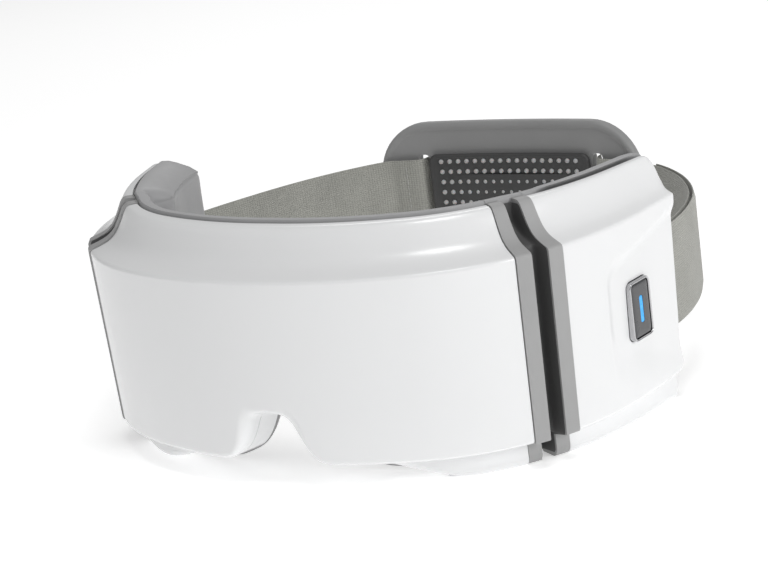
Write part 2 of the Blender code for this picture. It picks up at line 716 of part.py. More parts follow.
def strap():
    """The strap's two sides, its folded-back tail, and the run behind the rear pad."""
    left_path = smooth_path(STRAP_PLAN_LEFT, 3)
    left = ribbon("strap_left", left_path, STRAP_BOTTOM, STRAP_TOP, "strap_fabric")
    mirrored = [(-x, y) for x, y in STRAP_PLAN_RIGHT]
    right = ribbon("strap_right", smooth_path(mirrored, 3), STRAP_BOTTOM, STRAP_TOP, "strap_fabric")
    folded = [p - n * (STRAP_THICKNESS + GAP) for p, n in zip(left_path, path_normals(left_path))]
    tail = ribbon("strap_tail", folded[:19], STRAP_BOTTOM, STRAP_TOP, "strap_fabric")
    behind = PAD_FRONT + PAD_THICKNESS + GAP + STRAP_THICKNESS / 2
    across = [Vector((x, behind - x * x / (2 * PAD_RADIUS))) for x in stations(-34.8, 34.8, 6.0)]
    middle = ribbon("strap_middle", across, STRAP_BOTTOM, STRAP_TOP, "strap_fabric")
    return left, right, tail, middle


def pad_rings(half_width, half_height, corner, front, back):
    """Rings across a gently curved plate with rounded corners."""
    rings = []
    straight = half_width - corner
    xs = [-half_width * math.cos(math.pi * i / 36) for i in range(37)]
    for x in xs:
        beyond = max(0.0, abs(x) - straight)
        half = half_height - corner + math.sqrt(max(0.0, corner ** 2 - beyond ** 2))
        curve = -x * x / (2 * PAD_RADIUS)
        low, high = PAD_MIDDLE_Z - half, PAD_MIDDLE_Z + half
        rings.append([in_plan(x, front + curve, high), in_plan(x, front + curve, low),
                      in_plan(x, back + curve, low), in_plan(x, back + curve, high)])
    return rings


def rear_pad():
    """The head pad at the back of the strap, and the nubbed panel on its face."""
    plate = finish("rear_pad", loft(pad_rings(PAD_HALF_WIDTH, PAD_HALF_HEIGHT, PAD_CORNER, PAD_FRONT,
                                              PAD_FRONT + PAD_THICKNESS)), "pad_grey")
    for side in (1, -1):
        slot = finish(f"pad_slot_tool_{side}", loft([
            [in_plan(side * SLOT_X + dx, y, z) for dx, z in (
                (-SLOT_WIDTH / 2, STRAP_TOP + 1.5), (-SLOT_WIDTH / 2, STRAP_BOTTOM - 1.5),
                (SLOT_WIDTH / 2, STRAP_BOTTOM - 1.5), (SLOT_WIDTH / 2, STRAP_TOP + 1.5))]
            for y in (PAD_FRONT - 10.0, PAD_FRONT + PAD_THICKNESS + 6.0)]), "pad_grey", smooth=False)
        combine(plate, slot, "DIFFERENCE")
    panel = finish("nub_panel", loft(pad_rings(PANEL_HALF_WIDTH, (STRAP_TOP - STRAP_BOTTOM) / 2 + 2.0, 3.0,
                                               PAD_FRONT - GAP - 1.8, PAD_FRONT - GAP)), "nub_dark")
    return plate, panel


def main():
    """Builds the mask."""
    clear_scene()
    nose = nose_cutter()
    centre_shell(nose)
    centre_back(nose)
    centre_liner(nose)
    nose_bridge()
    charging_port()
    centre_electronics()
    air_tubes()
    housing_screws()
    for side, word in SIDES:
        hinge(side, word)
        wing_shell(side, word)
        wing_back(side, word)
        wing_liner(side, word)
        wing_inside(side, word)
    power_button()
    strap()
    rear_pad()


main()
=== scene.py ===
"""Looks of a folding eye massager: white shells, rubber folds, soft liners, strap and rear pad.

Lengths inside the classes are millimetres and MM turns them into metres.  Most pieces follow the
mask's outline: s runs along it from the nose (positive on the wearer's left), d goes inward from
it, and z is the height above the crease between the bell and the face.
"""
from __future__ import annotations

import json
import logging
import math
from dataclasses import dataclass
from enum import Enum
from typing import Callable, Iterable, Sequence

import bpy
from mathutils import Matrix, Vector

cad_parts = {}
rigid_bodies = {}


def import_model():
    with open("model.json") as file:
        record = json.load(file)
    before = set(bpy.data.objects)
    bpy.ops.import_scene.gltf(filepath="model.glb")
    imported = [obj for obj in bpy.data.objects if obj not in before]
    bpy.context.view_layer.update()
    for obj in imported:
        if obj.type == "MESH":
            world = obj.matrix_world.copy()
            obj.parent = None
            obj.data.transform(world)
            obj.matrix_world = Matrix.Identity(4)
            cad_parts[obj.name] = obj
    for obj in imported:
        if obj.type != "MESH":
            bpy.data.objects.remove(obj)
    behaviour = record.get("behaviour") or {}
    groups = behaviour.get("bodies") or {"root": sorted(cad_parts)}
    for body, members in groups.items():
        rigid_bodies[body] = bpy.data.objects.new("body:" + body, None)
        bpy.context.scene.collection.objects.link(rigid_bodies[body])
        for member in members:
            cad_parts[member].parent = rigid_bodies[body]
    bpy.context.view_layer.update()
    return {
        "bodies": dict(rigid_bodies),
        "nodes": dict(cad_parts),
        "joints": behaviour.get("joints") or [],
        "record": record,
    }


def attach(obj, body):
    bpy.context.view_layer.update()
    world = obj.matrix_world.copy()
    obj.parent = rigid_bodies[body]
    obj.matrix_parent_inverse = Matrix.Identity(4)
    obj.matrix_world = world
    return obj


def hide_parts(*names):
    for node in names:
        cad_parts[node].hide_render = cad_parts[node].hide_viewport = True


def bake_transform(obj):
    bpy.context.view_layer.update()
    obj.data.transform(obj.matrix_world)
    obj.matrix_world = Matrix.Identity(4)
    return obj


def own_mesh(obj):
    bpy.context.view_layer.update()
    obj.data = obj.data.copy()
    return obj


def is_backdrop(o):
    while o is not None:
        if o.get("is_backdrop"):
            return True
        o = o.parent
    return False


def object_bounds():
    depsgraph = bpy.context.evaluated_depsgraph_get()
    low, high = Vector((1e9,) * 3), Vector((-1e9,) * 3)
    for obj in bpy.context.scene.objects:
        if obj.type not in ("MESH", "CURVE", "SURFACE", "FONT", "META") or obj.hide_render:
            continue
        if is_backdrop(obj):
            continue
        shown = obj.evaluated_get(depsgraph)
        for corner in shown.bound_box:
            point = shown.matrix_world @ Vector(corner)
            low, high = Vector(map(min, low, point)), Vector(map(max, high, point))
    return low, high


LOG = logging.getLogger("eye_massager")
MM = 0.001
Point2 = tuple[float, float]
Ring = list[Vector]
Section = Callable[[float], list[Point2]]


class Side(Enum):
    """The wearer's two sides."""

    LEFT = 1
    RIGHT = -1

    @property
    def word(self) -> str:
        """The side's name in node names."""
        return self.name.lower()

    @property
    def wing(self) -> str:
        """The name of the wing's body."""
        return f"wing_{self.word}"


# --- finishes -------------------------------------------------------------------------------


class Nodes:
    """A small hand for laying out shader nodes."""

    def __init__(self, name: str) -> None:
        """Starts a material with a Principled shader.

        Args:
            name: the material's name.
        """
        self.material = bpy.data.materials.new(name)
        self.material.use_nodes = True
        self.tree = self.material.node_tree
        self.shader = self.tree.nodes["Principled BSDF"]
        self.place = self.tree.nodes.new("ShaderNodeTexCoord")

    def add(self, kind: str, **values: object) -> bpy.types.Node:
        """Adds a node.

        Args:
            kind: the node's type name.
            values: attributes, or inputs by their name with _ for a space.

        Returns:
            The new node.
        """
        node = self.tree.nodes.new(kind)
        for key, value in values.items():
            if hasattr(node, key):
                setattr(node, key, value)
            else:
                node.inputs[key.replace("_", " ")].default_value = value
        return node

    def link(self, start: bpy.types.NodeSocket, end: bpy.types.NodeSocket) -> None:
        """Joins two sockets."""
        self.tree.links.new(start, end)

    def noise(self, scale: float, detail: float = 3.0, coords: str = "Object") -> bpy.types.NodeSocket:
        """Adds a noise pattern.

        Args:
            scale: cycles per metre.
            detail: octaves.
            coords: the texture coordinate it reads.

        Returns:
            Its value socket.
        """
        node = self.add("ShaderNodeTexNoise", Scale=scale, Detail=detail)
        self.link(self.place.outputs[coords], node.inputs["Vector"])
        return node.outputs["Fac"]

    def spread(self, value: bpy.types.NodeSocket, low: float, high: float) -> bpy.types.NodeSocket:
        """Maps the useful middle of a noise to the range low to high."""
        node = self.add("ShaderNodeMapRange")
        for name, number in (("From Min", 0.3), ("From Max", 0.7), ("To Min", low), ("To Max", high)):
            node.inputs[name].default_value = number
        self.link(value, node.inputs["Value"])
        return node.outputs["Result"]

    def tinted(self, value: bpy.types.NodeSocket, one: Sequence[float],
               two: Sequence[float]) -> bpy.types.NodeSocket:
        """Mixes two colours by a value.

        Args:
            value: the socket that mixes them, 0 to 1.
            one: the colour at 0.
            two: the colour at 1.

        Returns:
            The mixed colour's socket.
        """
        node = self.add("ShaderNodeMix", data_type="RGBA")
        node.inputs[6].default_value = (*one, 1.0)
        node.inputs[7].default_value = (*two, 1.0)
        self.link(value, node.inputs[0])
        return node.outputs[2]

    def bump(self, height: bpy.types.NodeSocket, depth_mm: float, strength: float = 1.0,
             after: bpy.types.NodeSocket | None = None) -> bpy.types.NodeSocket:
        """Adds a bump.

        Args:
            height: the height pattern, 0 to 1.
            depth_mm: how deep the pattern is.
            strength: the share of it that shows.
            after: another bump's normal to build on.

        Returns:
            The normal's socket.
        """
        node = self.add("ShaderNodeBump", Strength=strength, Distance=depth_mm * MM)
        self.link(height, node.inputs["Height"])
        if after is not None:
            self.link(after, node.inputs["Normal"])
        return node.outputs["Normal"]


def scaled(colour: Sequence[float], factor: float) -> tuple[float, ...]:
    """Returns the colour times a factor."""
    return tuple(min(1.0, channel * factor) for channel in colour)


@dataclass(frozen=True)
class Moulded:
    """A moulded plastic or rubber: slight mottling, a fine grain and uneven gloss."""

    slot: str
    colour: tuple[float, float, float]
    roughness: float
    metallic: float = 0.0
    coat: float = 0.0
    sheen: float = 0.0
    subsurface: float = 0.0
    mottle: float = 0.03
    mottle_scale: float = 60.0
    grain_scale: float = 2600.0
    grain_mm: float = 0.01
    gloss_spread: float = 0.05

    def make(self) -> bpy.types.Material:
        """Builds the material.

        Returns:
            The finished material.
        """
        nodes = Nodes(self.slot)
        shader = nodes.shader
        blotch = nodes.spread(nodes.noise(self.mottle_scale), 0.0, 1.0)
        tone = nodes.tinted(blotch, scaled(self.colour, 1 - self.mottle),
                            scaled(self.colour, 1 + self.mottle))
        nodes.link(tone, shader.inputs["Base Color"])
        gloss = nodes.spread(nodes.noise(self.mottle_scale * 6.0, 4.0),
                             self.roughness - self.gloss_spread, self.roughness + self.gloss_spread)
        nodes.link(gloss, shader.inputs["Roughness"])
        fine = nodes.bump(nodes.noise(self.grain_scale, 2.0), self.grain_mm)
        wave = nodes.bump(nodes.noise(self.mottle_scale * 2.5, 2.0), self.grain_mm * 2.0, 0.6, fine)
        nodes.link(wave, shader.inputs["Normal"])
        shader.inputs["Metallic"].default_value = self.metallic
        shader.inputs["Coat Weight"].default_value = self.coat
        shader.inputs["Coat Roughness"].default_value = 0.12
        shader.inputs["Sheen Weight"].default_value = self.sheen
        shader.inputs["Sheen Roughness"].default_value = 0.4
        shader.inputs["Subsurface Weight"].default_value = self.subsurface
        shader.inputs["Subsurface Scale"].default_value = 0.003
        return nodes.material


@dataclass(frozen=True)
class Woven:
    """A close elastic weave that follows a strap: ribs across it, threads along it, and fuzz."""

    slot: str
    colour: tuple[float, float, float]
    rib_mm: float = 1.05
    thread_mm: float = 0.8
    depth_mm: float = 0.14

    def make(self) -> bpy.types.Material:
        """Builds the material, whose pattern reads the strap's own map in metres.

        Returns:
            The finished material.
        """
        nodes = Nodes(self.slot)
        shader = nodes.shader
        waves = []
        for axis, pitch in (("X", self.rib_mm), ("Y", self.thread_mm)):
            wave = nodes.add("ShaderNodeTexWave", wave_type="BANDS", bands_direction=axis,
                             wave_profile="SIN", Distortion=2.2, Detail=2.0)
            wave.inputs["Scale"].default_value = math.pi / (10.0 * pitch * MM)
            wave.inputs["Detail Scale"].default_value = 1.6
            nodes.link(nodes.place.outputs["UV"], wave.inputs["Vector"])
            waves.append(wave.outputs["Fac"])
        knit = nodes.add("ShaderNodeMath", operation="MULTIPLY")
        nodes.link(waves[0], knit.inputs[0])
        nodes.link(waves[1], knit.inputs[1])
        fuzz = nodes.noise(1900.0, 4.0)
        blend = nodes.add("ShaderNodeMath", operation="MULTIPLY_ADD")
        nodes.link(fuzz, blend.inputs[0])
        blend.inputs[1].default_value = 0.9
        nodes.link(knit.outputs[0], blend.inputs[2])
        grey = nodes.spread(blend.outputs[0], 0.0, 1.0)
        tone = nodes.tinted(grey, scaled(self.colour, 0.72), scaled(self.colour, 1.16))
        patch = nodes.spread(nodes.noise(90.0, 3.0), 0.93, 1.05)
        hue = nodes.add("ShaderNodeHueSaturation")
        nodes.link(tone, hue.inputs["Color"])
        nodes.link(patch, hue.inputs["Value"])
        nodes.link(hue.outputs["Color"], shader.inputs["Base Color"])
        normal = nodes.bump(blend.outputs[0], self.depth_mm, 0.8)
        nodes.link(nodes.bump(nodes.noise(5200.0, 3.0), 0.05, 0.6, normal), shader.inputs["Normal"])
        nodes.link(nodes.spread(fuzz, 0.78, 0.92), shader.inputs["Roughness"])
        shader.inputs["Sheen Weight"].default_value = 0.25
        shader.inputs["Sheen Roughness"].default_value = 0.5
        return nodes.material


@dataclass(frozen=True)
class Glowing:
    """A light guide that glows, its tone clouded a little."""

    slot: str
    colour: tuple[float, float, float]
    strength: float = 1.0

    def make(self) -> bpy.types.Material:
        """Builds the material.

        Returns:
            The finished material.
        """
        nodes = Nodes(self.slot)
        shader = nodes.shader
        cloud = nodes.spread(nodes.noise(420.0, 2.0), 0.0, 1.0)
        nodes.link(nodes.tinted(cloud, scaled(self.colour, 0.85), scaled(self.colour, 1.1)),
                   shader.inputs["Base Color"])
        nodes.link(nodes.tinted(cloud, scaled(self.colour, 0.9), scaled(self.colour, 1.15)),
                   shader.inputs["Emission Color"])
        shader.inputs["Emission Strength"].default_value = self.strength
        nodes.link(nodes.spread(cloud, 0.2, 0.3), shader.inputs["Roughness"])
        nodes.link(nodes.bump(nodes.noise(2400.0), 0.01), shader.inputs["Normal"])
        return nodes.material


FINISHES = (
    Moulded("shell_white", (0.84, 0.845, 0.85), 0.27, coat=0.25, mottle=0.0008, grain_mm=0.0001,
            gloss_spread=0.003),
    Moulded("liner_grey", (0.37, 0.37, 0.375), 0.5, sheen=0.15, grain_mm=0.03, grain_scale=1500.0),
    Moulded("flange_grey", (0.36, 0.36, 0.36), 0.52, grain_mm=0.02, grain_scale=1900.0),
    # bellows_dark: the web's own dark rubber, made darker still with painted shade of the deep groove
    Moulded("bellows_dark", (0.08, 0.08, 0.08), 0.6, grain_mm=0.03, grain_scale=1500.0),
    Moulded("chrome", (0.5, 0.5, 0.51), 0.16, metallic=1.0, mottle=0.01, grain_mm=0.002, gloss_spread=0.03),
    Moulded("button_dark", (0.055, 0.056, 0.06), 0.3, coat=0.3, grain_mm=0.01),
    Glowing("light_blue", (0.03, 0.3, 0.68), 0.6),
    Woven("strap_fabric", (0.33, 0.33, 0.3)),
    Moulded("pad_grey", (0.29, 0.29, 0.29), 0.5, sheen=0.1, grain_mm=0.02, grain_scale=1700.0),
    Moulded("nub_dark", (0.055, 0.055, 0.055), 0.5, grain_mm=0.02),
    Moulded("nub_light", (0.42, 0.42, 0.42), 0.4, subsurface=0.1, grain_mm=0.01),
    Moulded("thread_grey", (0.42, 0.42, 0.4), 0.8, grain_mm=0.05, grain_scale=4000.0),
    Moulded("board_green", (0.03, 0.2, 0.08), 0.4, mottle=0.12, mottle_scale=400.0),
    Moulded("steel", (0.58, 0.58, 0.6), 0.3, metallic=1.0, mottle=0.05, mottle_scale=300.0),
    Moulded("airbag_film", (0.5, 0.52, 0.55), 0.35, mottle=0.06, grain_mm=0.05, grain_scale=600.0),
    Moulded("heater_film", (0.35, 0.16, 0.04), 0.4, mottle=0.15, mottle_scale=500.0),
    Moulded("cell_wrap", (0.1, 0.18, 0.4), 0.35, mottle=0.05),
    Moulded("plastic_black", (0.03, 0.03, 0.03), 0.45, mottle=0.1),
    Moulded("tube_clear", (0.68, 0.7, 0.72), 0.25, subsurface=0.2, mottle=0.03),
)


class FinishBook:
    """The finishes by name, each made once."""

    def __init__(self) -> None:
        """Makes every finish."""
        self.made = {finish.slot: finish.make() for finish in FINISHES}
        self.shared_slots = {"nub_light": "nub_dark", "thread_grey": "strap_fabric"}

    def dress(self, piece: bpy.types.Object, name: str) -> None:
        """Gives a piece one finish and nothing else.

        Args:
            piece: the object.
            name: the finish's name.
        """
        piece.data.materials.clear()
        piece.data.materials.append(self.made[name])

    def dress_frame(self, frame: dict) -> None:
        """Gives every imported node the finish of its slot.

        Args:
            frame: what the frame loader returned.
        """
        for entry in frame["record"]["subparts"]:
            self.dress(frame["nodes"][entry["node"]], entry["material_slot"])


# --- mesh work ------------------------------------------------------------------------------


def smooth_curve(points: Sequence[Sequence[float]], steps: int) -> list[tuple[float, ...]]:
    """Runs a smooth curve through points.

    Args:
        points: the points, of any length each.
        steps: how many pieces each span has.

    Returns:
        The curve's points, the last one included.
    """
    path = []
    last = len(points) - 1
    for i in range(last):
        p0, p1 = Vector(points[max(i - 1, 0)]), Vector(points[i])
        p2, p3 = Vector(points[i + 1]), Vector(points[min(i + 2, last)])
        for k in range(steps):
            t = k / steps
            path.append(tuple(0.5 * (2 * p1 + (p2 - p0) * t + (2 * p0 - 5 * p1 + 4 * p2 - p3) * t ** 2
                                     + (3 * p1 - p0 - 3 * p2 + p3) * t ** 3)))
    path.append(tuple(points[last]))
    return path


def evenly(start: float, end: float, step: float) -> list[float]:
    """Returns evenly spaced values from start to end, no more than step apart."""
    count = max(1, math.ceil(abs(end - start) / step))
    return [start + (end - start) * i / count for i in range(count + 1)]


def ease(value: float) -> float:
    """Returns a smooth 0 to 1 step of a value between 0 and 1."""
    t = max(0.0, min(1.0, value))
    return t * t * (3 - 2 * t)


def soft_max(one: float, two: float, width: float) -> float:
    """Returns the greater value, rounded where the two are within width."""
    share = max(0.0, min(1.0, 0.5 + 0.5 * (one - two) / width))
    return two + (one - two) * share + width * share * (1 - share)


def soft_min(one: float, two: float, width: float) -> float:
    """Returns the smaller value, rounded where the two are within width."""
    return -soft_max(-one, -two, width)


def offset_path(path: Sequence[Point2], wall: float) -> list[Point2]:
    """Returns a mitred parallel path that far to the left side."""
    points = [Vector(point) for point in path]
    runs = [(end - start).normalized() for start, end in zip(points, points[1:])]
    result = []
    for point, before, after in zip(points, [runs[0]] + runs, runs + [runs[-1]]):
        middle = (before + after).normalized()
        result.append((point + Vector((-middle.y, middle.x)) * wall / middle.dot(before))[:])
    return result


def use_only(piece: bpy.types.Object) -> None:
    """Makes one object the only selected and active one."""
    bpy.ops.object.select_all(action="DESELECT")
    piece.select_set(True)
    bpy.context.view_layer.objects.active = piece


def apply_modifier(piece: bpy.types.Object, kind: str, **values: object) -> None:
    """Adds a modifier and applies it.

    Args:
        piece: the object.
        kind: the modifier's type name.
        values: its settings.
    """
    use_only(piece)
    modifier = piece.modifiers.new(kind.title(), kind)
    for key, value in values.items():
        setattr(modifier, key, value)
    bpy.ops.object.modifier_apply(modifier=modifier.name)


def round_edges(piece: bpy.types.Object, width_mm: float, segments: int = 3, angle: float = 50.0) -> None:
    """Rounds every edge sharper than an angle."""
    apply_modifier(piece, "BEVEL", width=width_mm * MM, segments=segments, limit_method="ANGLE",
                   angle_limit=math.radians(angle), use_clamp_overlap=True)


def shade(piece: bpy.types.Object, angle: float = 38.0) -> None:
    """Shades a piece smooth, but for edges sharper than an angle."""
    use_only(piece)
    bpy.ops.object.shade_smooth_by_angle(angle=math.radians(angle))
    apply_modifier(piece, "WEIGHTED_NORMAL", keep_sharp=True)


def loft(name: str, rings: Sequence[Ring], closed: bool = True) -> bpy.types.Object:
    """Shapes a grid into a skin that runs through rings of equal length.

    Args:
        name: the object's name.
        rings: the rings, in the frame's metres.
        closed: whether each ring closes on itself and the ends are filled.

    Returns:
        The object, with a map in metres: along the rings, and round them.
    """
    loops = [list(ring) + [ring[0]] for ring in rings] if closed else [list(ring) for ring in rings]
    wide = len(loops[0])
    bpy.ops.object.select_all(action="DESELECT")
    bpy.ops.mesh.primitive_grid_add(x_subdivisions=wide - 1, y_subdivisions=len(loops) - 1, size=1.0)
    piece = bpy.context.active_object
    piece.name = piece.data.name = name
    mesh = piece.data
    mesh.vertices.foreach_set("co", [value for loop in loops for point in loop for value in point])
    lengths, rounds = [0.0], []
    for first, second in zip(loops, loops[1:]):
        lengths.append(lengths[-1] + (sum(second, Vector()) - sum(first, Vector())).length / wide)
    for loop in loops:
        round_ = [0.0]
        for first, second in zip(loop, loop[1:]):
            round_.append(round_[-1] + (second - first).length)
        rounds.append(round_)
    layer = mesh.uv_layers[0].data
    for corner in mesh.loops:
        row, column = divmod(corner.vertex_index, wide)
        layer[corner.index].uv = (lengths[row], rounds[row][column])
    use_only(piece)
    bpy.ops.object.mode_set(mode="EDIT")
    bpy.ops.mesh.select_all(action="SELECT")
    if closed:
        bpy.ops.mesh.remove_doubles(threshold=1e-7)
        bpy.ops.mesh.fill_holes(sides=0)
        bpy.ops.mesh.normals_make_consistent(inside=False)
    bpy.ops.object.mode_set(mode="OBJECT")
    return piece


def cut(piece: bpy.types.Object, tool: bpy.types.Object, operation: str = "DIFFERENCE") -> None:
    """Cuts a piece with a tool, which is then removed."""
    apply_modifier(piece, "BOOLEAN", operation=operation, solver="EXACT", object=tool)
    bpy.data.objects.remove(tool, do_unlink=True)


def join(pieces: Sequence[bpy.types.Object], name: str) -> bpy.types.Object:
    """Joins meshes into one object.

    Args:
        pieces: the objects.
        name: the joined object's name.

    Returns:
        The joined object.
    """
    use_only(pieces[0])
    for piece in pieces[1:]:
        piece.select_set(True)
    bpy.ops.object.join()
    pieces[0].name = pieces[0].data.name = name
    return pieces[0]


# --- the outline ----------------------------------------------------------------------------


@dataclass(frozen=True)
class Outline:
    """The mask's plan outline, its depth and its nose arch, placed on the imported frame."""

    front_y: float
    crease_z: float
    arcs: tuple[Point2, ...] = ((54.0, 140.0), (61.0, 75.0), (30.0, 123.0))
    hinge_inner: float = 88.9
    hinge_outer: float = 106.1
    wing_end: float = 165.5
    skin_end: float = 167.4
    depth_nose: float = 20.6
    depth_hinge: float = 18.6
    depth_wing_end: float = 8.7
    corner_reach: float = 4.0
    corner_drop: float = 0.4
    right_corner_reach: float = 11.0
    right_corner_drop: float = 0.62
    foot_drop: float = 0.07
    tip_swell: float = 1.5
    tip_reach: float = 6.0
    top: float = 13.9
    face_bottom: float = -62.0
    face_draft: float = 1.7
    lip_bottom: float = -71.3
    nose: tuple[Point2, ...] = ((-4.2, -44.9), (0.0, -44.0), (4.2, -44.9), (7.0, -47.2), (9.6, -52.5),
                                (12.2, -56.6), (15.6, -59.9), (20.0, -62.4), (31.0, -66.8),
                                (44.0, -70.6), (60.0, -76.0))
    nose_widening: tuple[tuple[float, float, float], ...] = ((-6.0, 1.0, 0.0), (2.0, 1.0, 0.0),
                                                             (27.0, 1.0, -4.0), (60.0, 1.3, -1.0))

    def at(self, s: float) -> tuple[float, float, float]:
        """Returns x, y and heading at length s, for s of 0 or more."""
        x, y, heading, left = 0.0, 0.0, 0.0, s
        for length, radius in self.arcs:
            run = min(left, length)
            turned = heading + run / radius
            x += radius * (math.sin(turned) - math.sin(heading))
            y += radius * (math.cos(heading) - math.cos(turned))
            heading = turned
            left -= run
        return x + left * math.cos(heading), y + left * math.sin(heading), heading

    def depth(self, s: float) -> float:
        """Returns the housing's depth at length s."""
        middle = (self.hinge_inner + self.hinge_outer) / 2
        if abs(s) < middle:
            return self.depth_nose + (self.depth_hinge - self.depth_nose) * abs(s) / middle
        share = (abs(s) - middle) / (self.wing_end - middle)
        return self.depth_hinge + (self.depth_wing_end - self.depth_hinge) * share

    def rounded(self, s: float, z: float) -> float:
        """Draws z in where a wing's rear corners round off."""
        reach, drop = self.corner_reach, self.corner_drop
        if s < 0 < z:
            reach, drop = self.right_corner_reach, self.right_corner_drop
        share = min(1.0, (abs(s) - (self.skin_end - reach)) / reach)
        if share <= 0:
            return z
        arc = 1 - math.sqrt(1 - share ** 2)
        if z > 0:
            return z * (1 - drop * arc)
        middle = self.face_bottom / 2
        if z < middle:
            return middle + (z - middle) * (1 - self.foot_drop * arc)
        return z

    def plan(self, s: float, d: float) -> Point2:
        """Returns x and y behind the nose at length s and depth d."""
        x, y, heading = self.at(abs(s))
        return math.copysign(x - math.sin(heading) * d, s), y + math.cos(heading) * d

    def in_plan(self, x: float, y: float, z: float) -> Vector:
        """Turns x, y behind the nose and z above the crease into the frame's metres."""
        return Vector((x * MM, self.front_y + y * MM, self.crease_z + z * MM))

    def place(self, s: float, d: float, z: float) -> Vector:
        """Returns the frame's point at length s, depth d and height z."""
        tip = 0.0
        if 0.0 < z < self.top:
            share = ease((abs(s) - self.skin_end + self.tip_reach) / self.tip_reach)
            tip = self.tip_swell * share * math.sin(math.pi * z / self.top)
        x, y = self.plan(s + math.copysign(tip, s), d)
        return self.in_plan(x, y, self.rounded(s, z))

    def local(self, s: float, d: float, z: float) -> Matrix:
        """Returns the matrix whose X runs along the outline, Y inward and Z up."""
        heading = math.copysign(self.at(abs(s))[2], s)
        return Matrix.Translation(self.place(s, d, z)) @ Matrix.Rotation(heading, 4, "Z")

    def nose_height(self, x: float, y: float) -> float:
        """Returns the height of the nose arch at a place in plan."""
        widen = lift = None
        for (low, w1, r1), (high, w2, r2) in zip(self.nose_widening, self.nose_widening[1:]):
            if y <= high:
                t = max(0.0, y - low) / (high - low)
                widen, lift = w1 + (w2 - w1) * t, r1 + (r2 - r1) * t
                break
        else:
            widen, lift = self.nose_widening[-1][1:]
        return read_graph(NOSE_CURVE, abs(x) / widen) + lift


NOSE_CURVE = smooth_curve(Outline.nose, 6)


def read_graph(points: Sequence[Sequence[float]], value: float) -> float:
    """Reads a straight-line graph of (value, result) points."""
    for (low, first), (high, second) in zip(points, points[1:]):
        if value <= high:
            return first + (second - first) * max(0.0, value - low) / max(1e-9, high - low)
    return points[-1][1]


@dataclass
class Profiles:
    """The sections that shells, liners and hinges are swept from."""

    outline: Outline
    wall: float = 2.0
    back_wall: float = 1.5
    back_top: float = 6.0
    liner_gap: float = 0.5
    liner_wall: float = 2.3
    rim_wall: float = 4.6
    rim_rise: float = 0.6
    liner_top: float = 14.2
    liner_bottom: float = -69.6
    flange_rise: float = 0.45
    lip_front: float = 0.46
    shell_reach: float = 0.42
    lip_gap: float = 1.1
    bell: tuple[Point2, ...] = ((1.0, 0.0), (0.9, -0.02), (0.81, -0.3), (0.735, -1.8), (0.66, -4.5),
                                (0.58, -7.1), (0.49, -9.3), (0.36, -11.1), (0.2, -12.3), (0.08, -13.0),
                                (0.02, -13.5), (0.0, -14.4))

    def bell_path(self, s: float, steps: int = 3) -> list[Point2]:
        """Returns the outside of the flaring bell, from the top land to the crease."""
        depth = self.outline.depth(s)
        return smooth_curve([(depth * share, self.outline.top + drop) for share, drop in self.bell], steps)

    def shell_inside(self, s: float, low: float, reach: float) -> list[Point2]:
        """Returns the inside of a white shell, from its lower edge up to the top land.

        Args:
            s: place along the outline.
            low: height of the lower edge's underside.
            reach: how deep the turned-in lower edge goes.

        Returns:
            The path.
        """
        line, wall = self.outline, self.wall
        bell = [(line.depth(s) * share, line.top + drop) for share, drop in self.bell[:-2]]
        bell = offset_path(bell + [(0.0, -3.0)], wall)
        floor = low + wall * 0.8
        rise = [(reach, floor), (line.face_draft + wall + 0.6, floor + 0.2),
                (line.face_draft + wall, floor + 1.4), (line.face_draft / 2 + wall, line.face_bottom / 2)]
        return rise + bell[::-1]

    def lip_ring(self, s: float, low: float) -> list[Point2]:
        """Returns the closed section of the lower lip whose underside is at height low."""
        depth = self.outline.depth(s)
        start, wall = depth * self.lip_front, self.back_wall
        high = self.outline.face_bottom + self.lip_gap
        outside = [(start, high), (start, low + 2.5), (start + 0.25, low + 1.5), (start + 0.9, low + 0.6),
                   (start + 1.6, low + 0.12), (start + 2.4, low), (depth - 1.4, low),
                   (depth - 0.5, low + 0.35), (depth, low + 1.3), (depth, high)]
        return outside + [(depth - wall, high), (depth - wall, low + wall), (start + wall, low + wall),
                          (start + wall, high)]


# --- parts ----------------------------------------------------------------------------------


@dataclass
class Maker:
    """What every sub-assembly shares: the outline, the sections and the finishes."""

    outline: Outline
    profiles: Profiles
    book: FinishBook

    def sweep(self, name: str, stations: Iterable[float], section: Section) -> bpy.types.Object:
        """Sweeps a closed section of (d, z) points along the outline."""
        return loft(name, [[self.outline.place(s, d, z) for d, z in section(s)] for s in stations])

    def done(self, piece: bpy.types.Object, body: str, slot: str, *nodes: str) -> bpy.types.Object:
        """Dresses a finished piece, puts it on its body and hides the nodes it stands for.

        Args:
            piece: the object.
            body: the body it rides on.
            slot: its finish and material slot.
            nodes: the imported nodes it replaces.

        Returns:
            The piece.
        """
        self.book.dress(piece, slot)
        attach(piece, body)
        if nodes:
            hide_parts(*nodes)
        LOG.info("%s on %s: %d faces", piece.name, body, len(piece.data.polygons))
        return piece

    def rounded_prism(self, name: str, size: Point2, corner: float, levels: Sequence[Point2],
                      at: tuple[float, float]) -> bpy.types.Object:
        """A prism with a rounded outline on a wing's side, shaped by levels.

        Args:
            name: the object's name.
            size: its width and height.
            corner: its corner radius.
            levels: (depth, inset) of each ring, from the outside in.
            at: its middle, as s and z.

        Returns:
            The object.
        """
        place = self.outline.local(at[0], 0.0, at[1])
        rings = []
        for depth, inset in levels:
            half_x, half_z = size[0] / 2 - inset, size[1] / 2 - inset
            radius = max(0.15, corner - inset)
            ring = []
            for quarter, (sx, sz) in enumerate(((1, 1), (-1, 1), (-1, -1), (1, -1))):
                for k in range(9):
                    angle = math.pi / 2 * (quarter + k / 8)
                    ring.append(place @ (Vector((sx * (half_x - radius) + radius * math.cos(angle), depth,
                                                 sz * (half_z - radius) + radius * math.sin(angle))) * MM))
            rings.append(ring)
        return loft(name, rings)


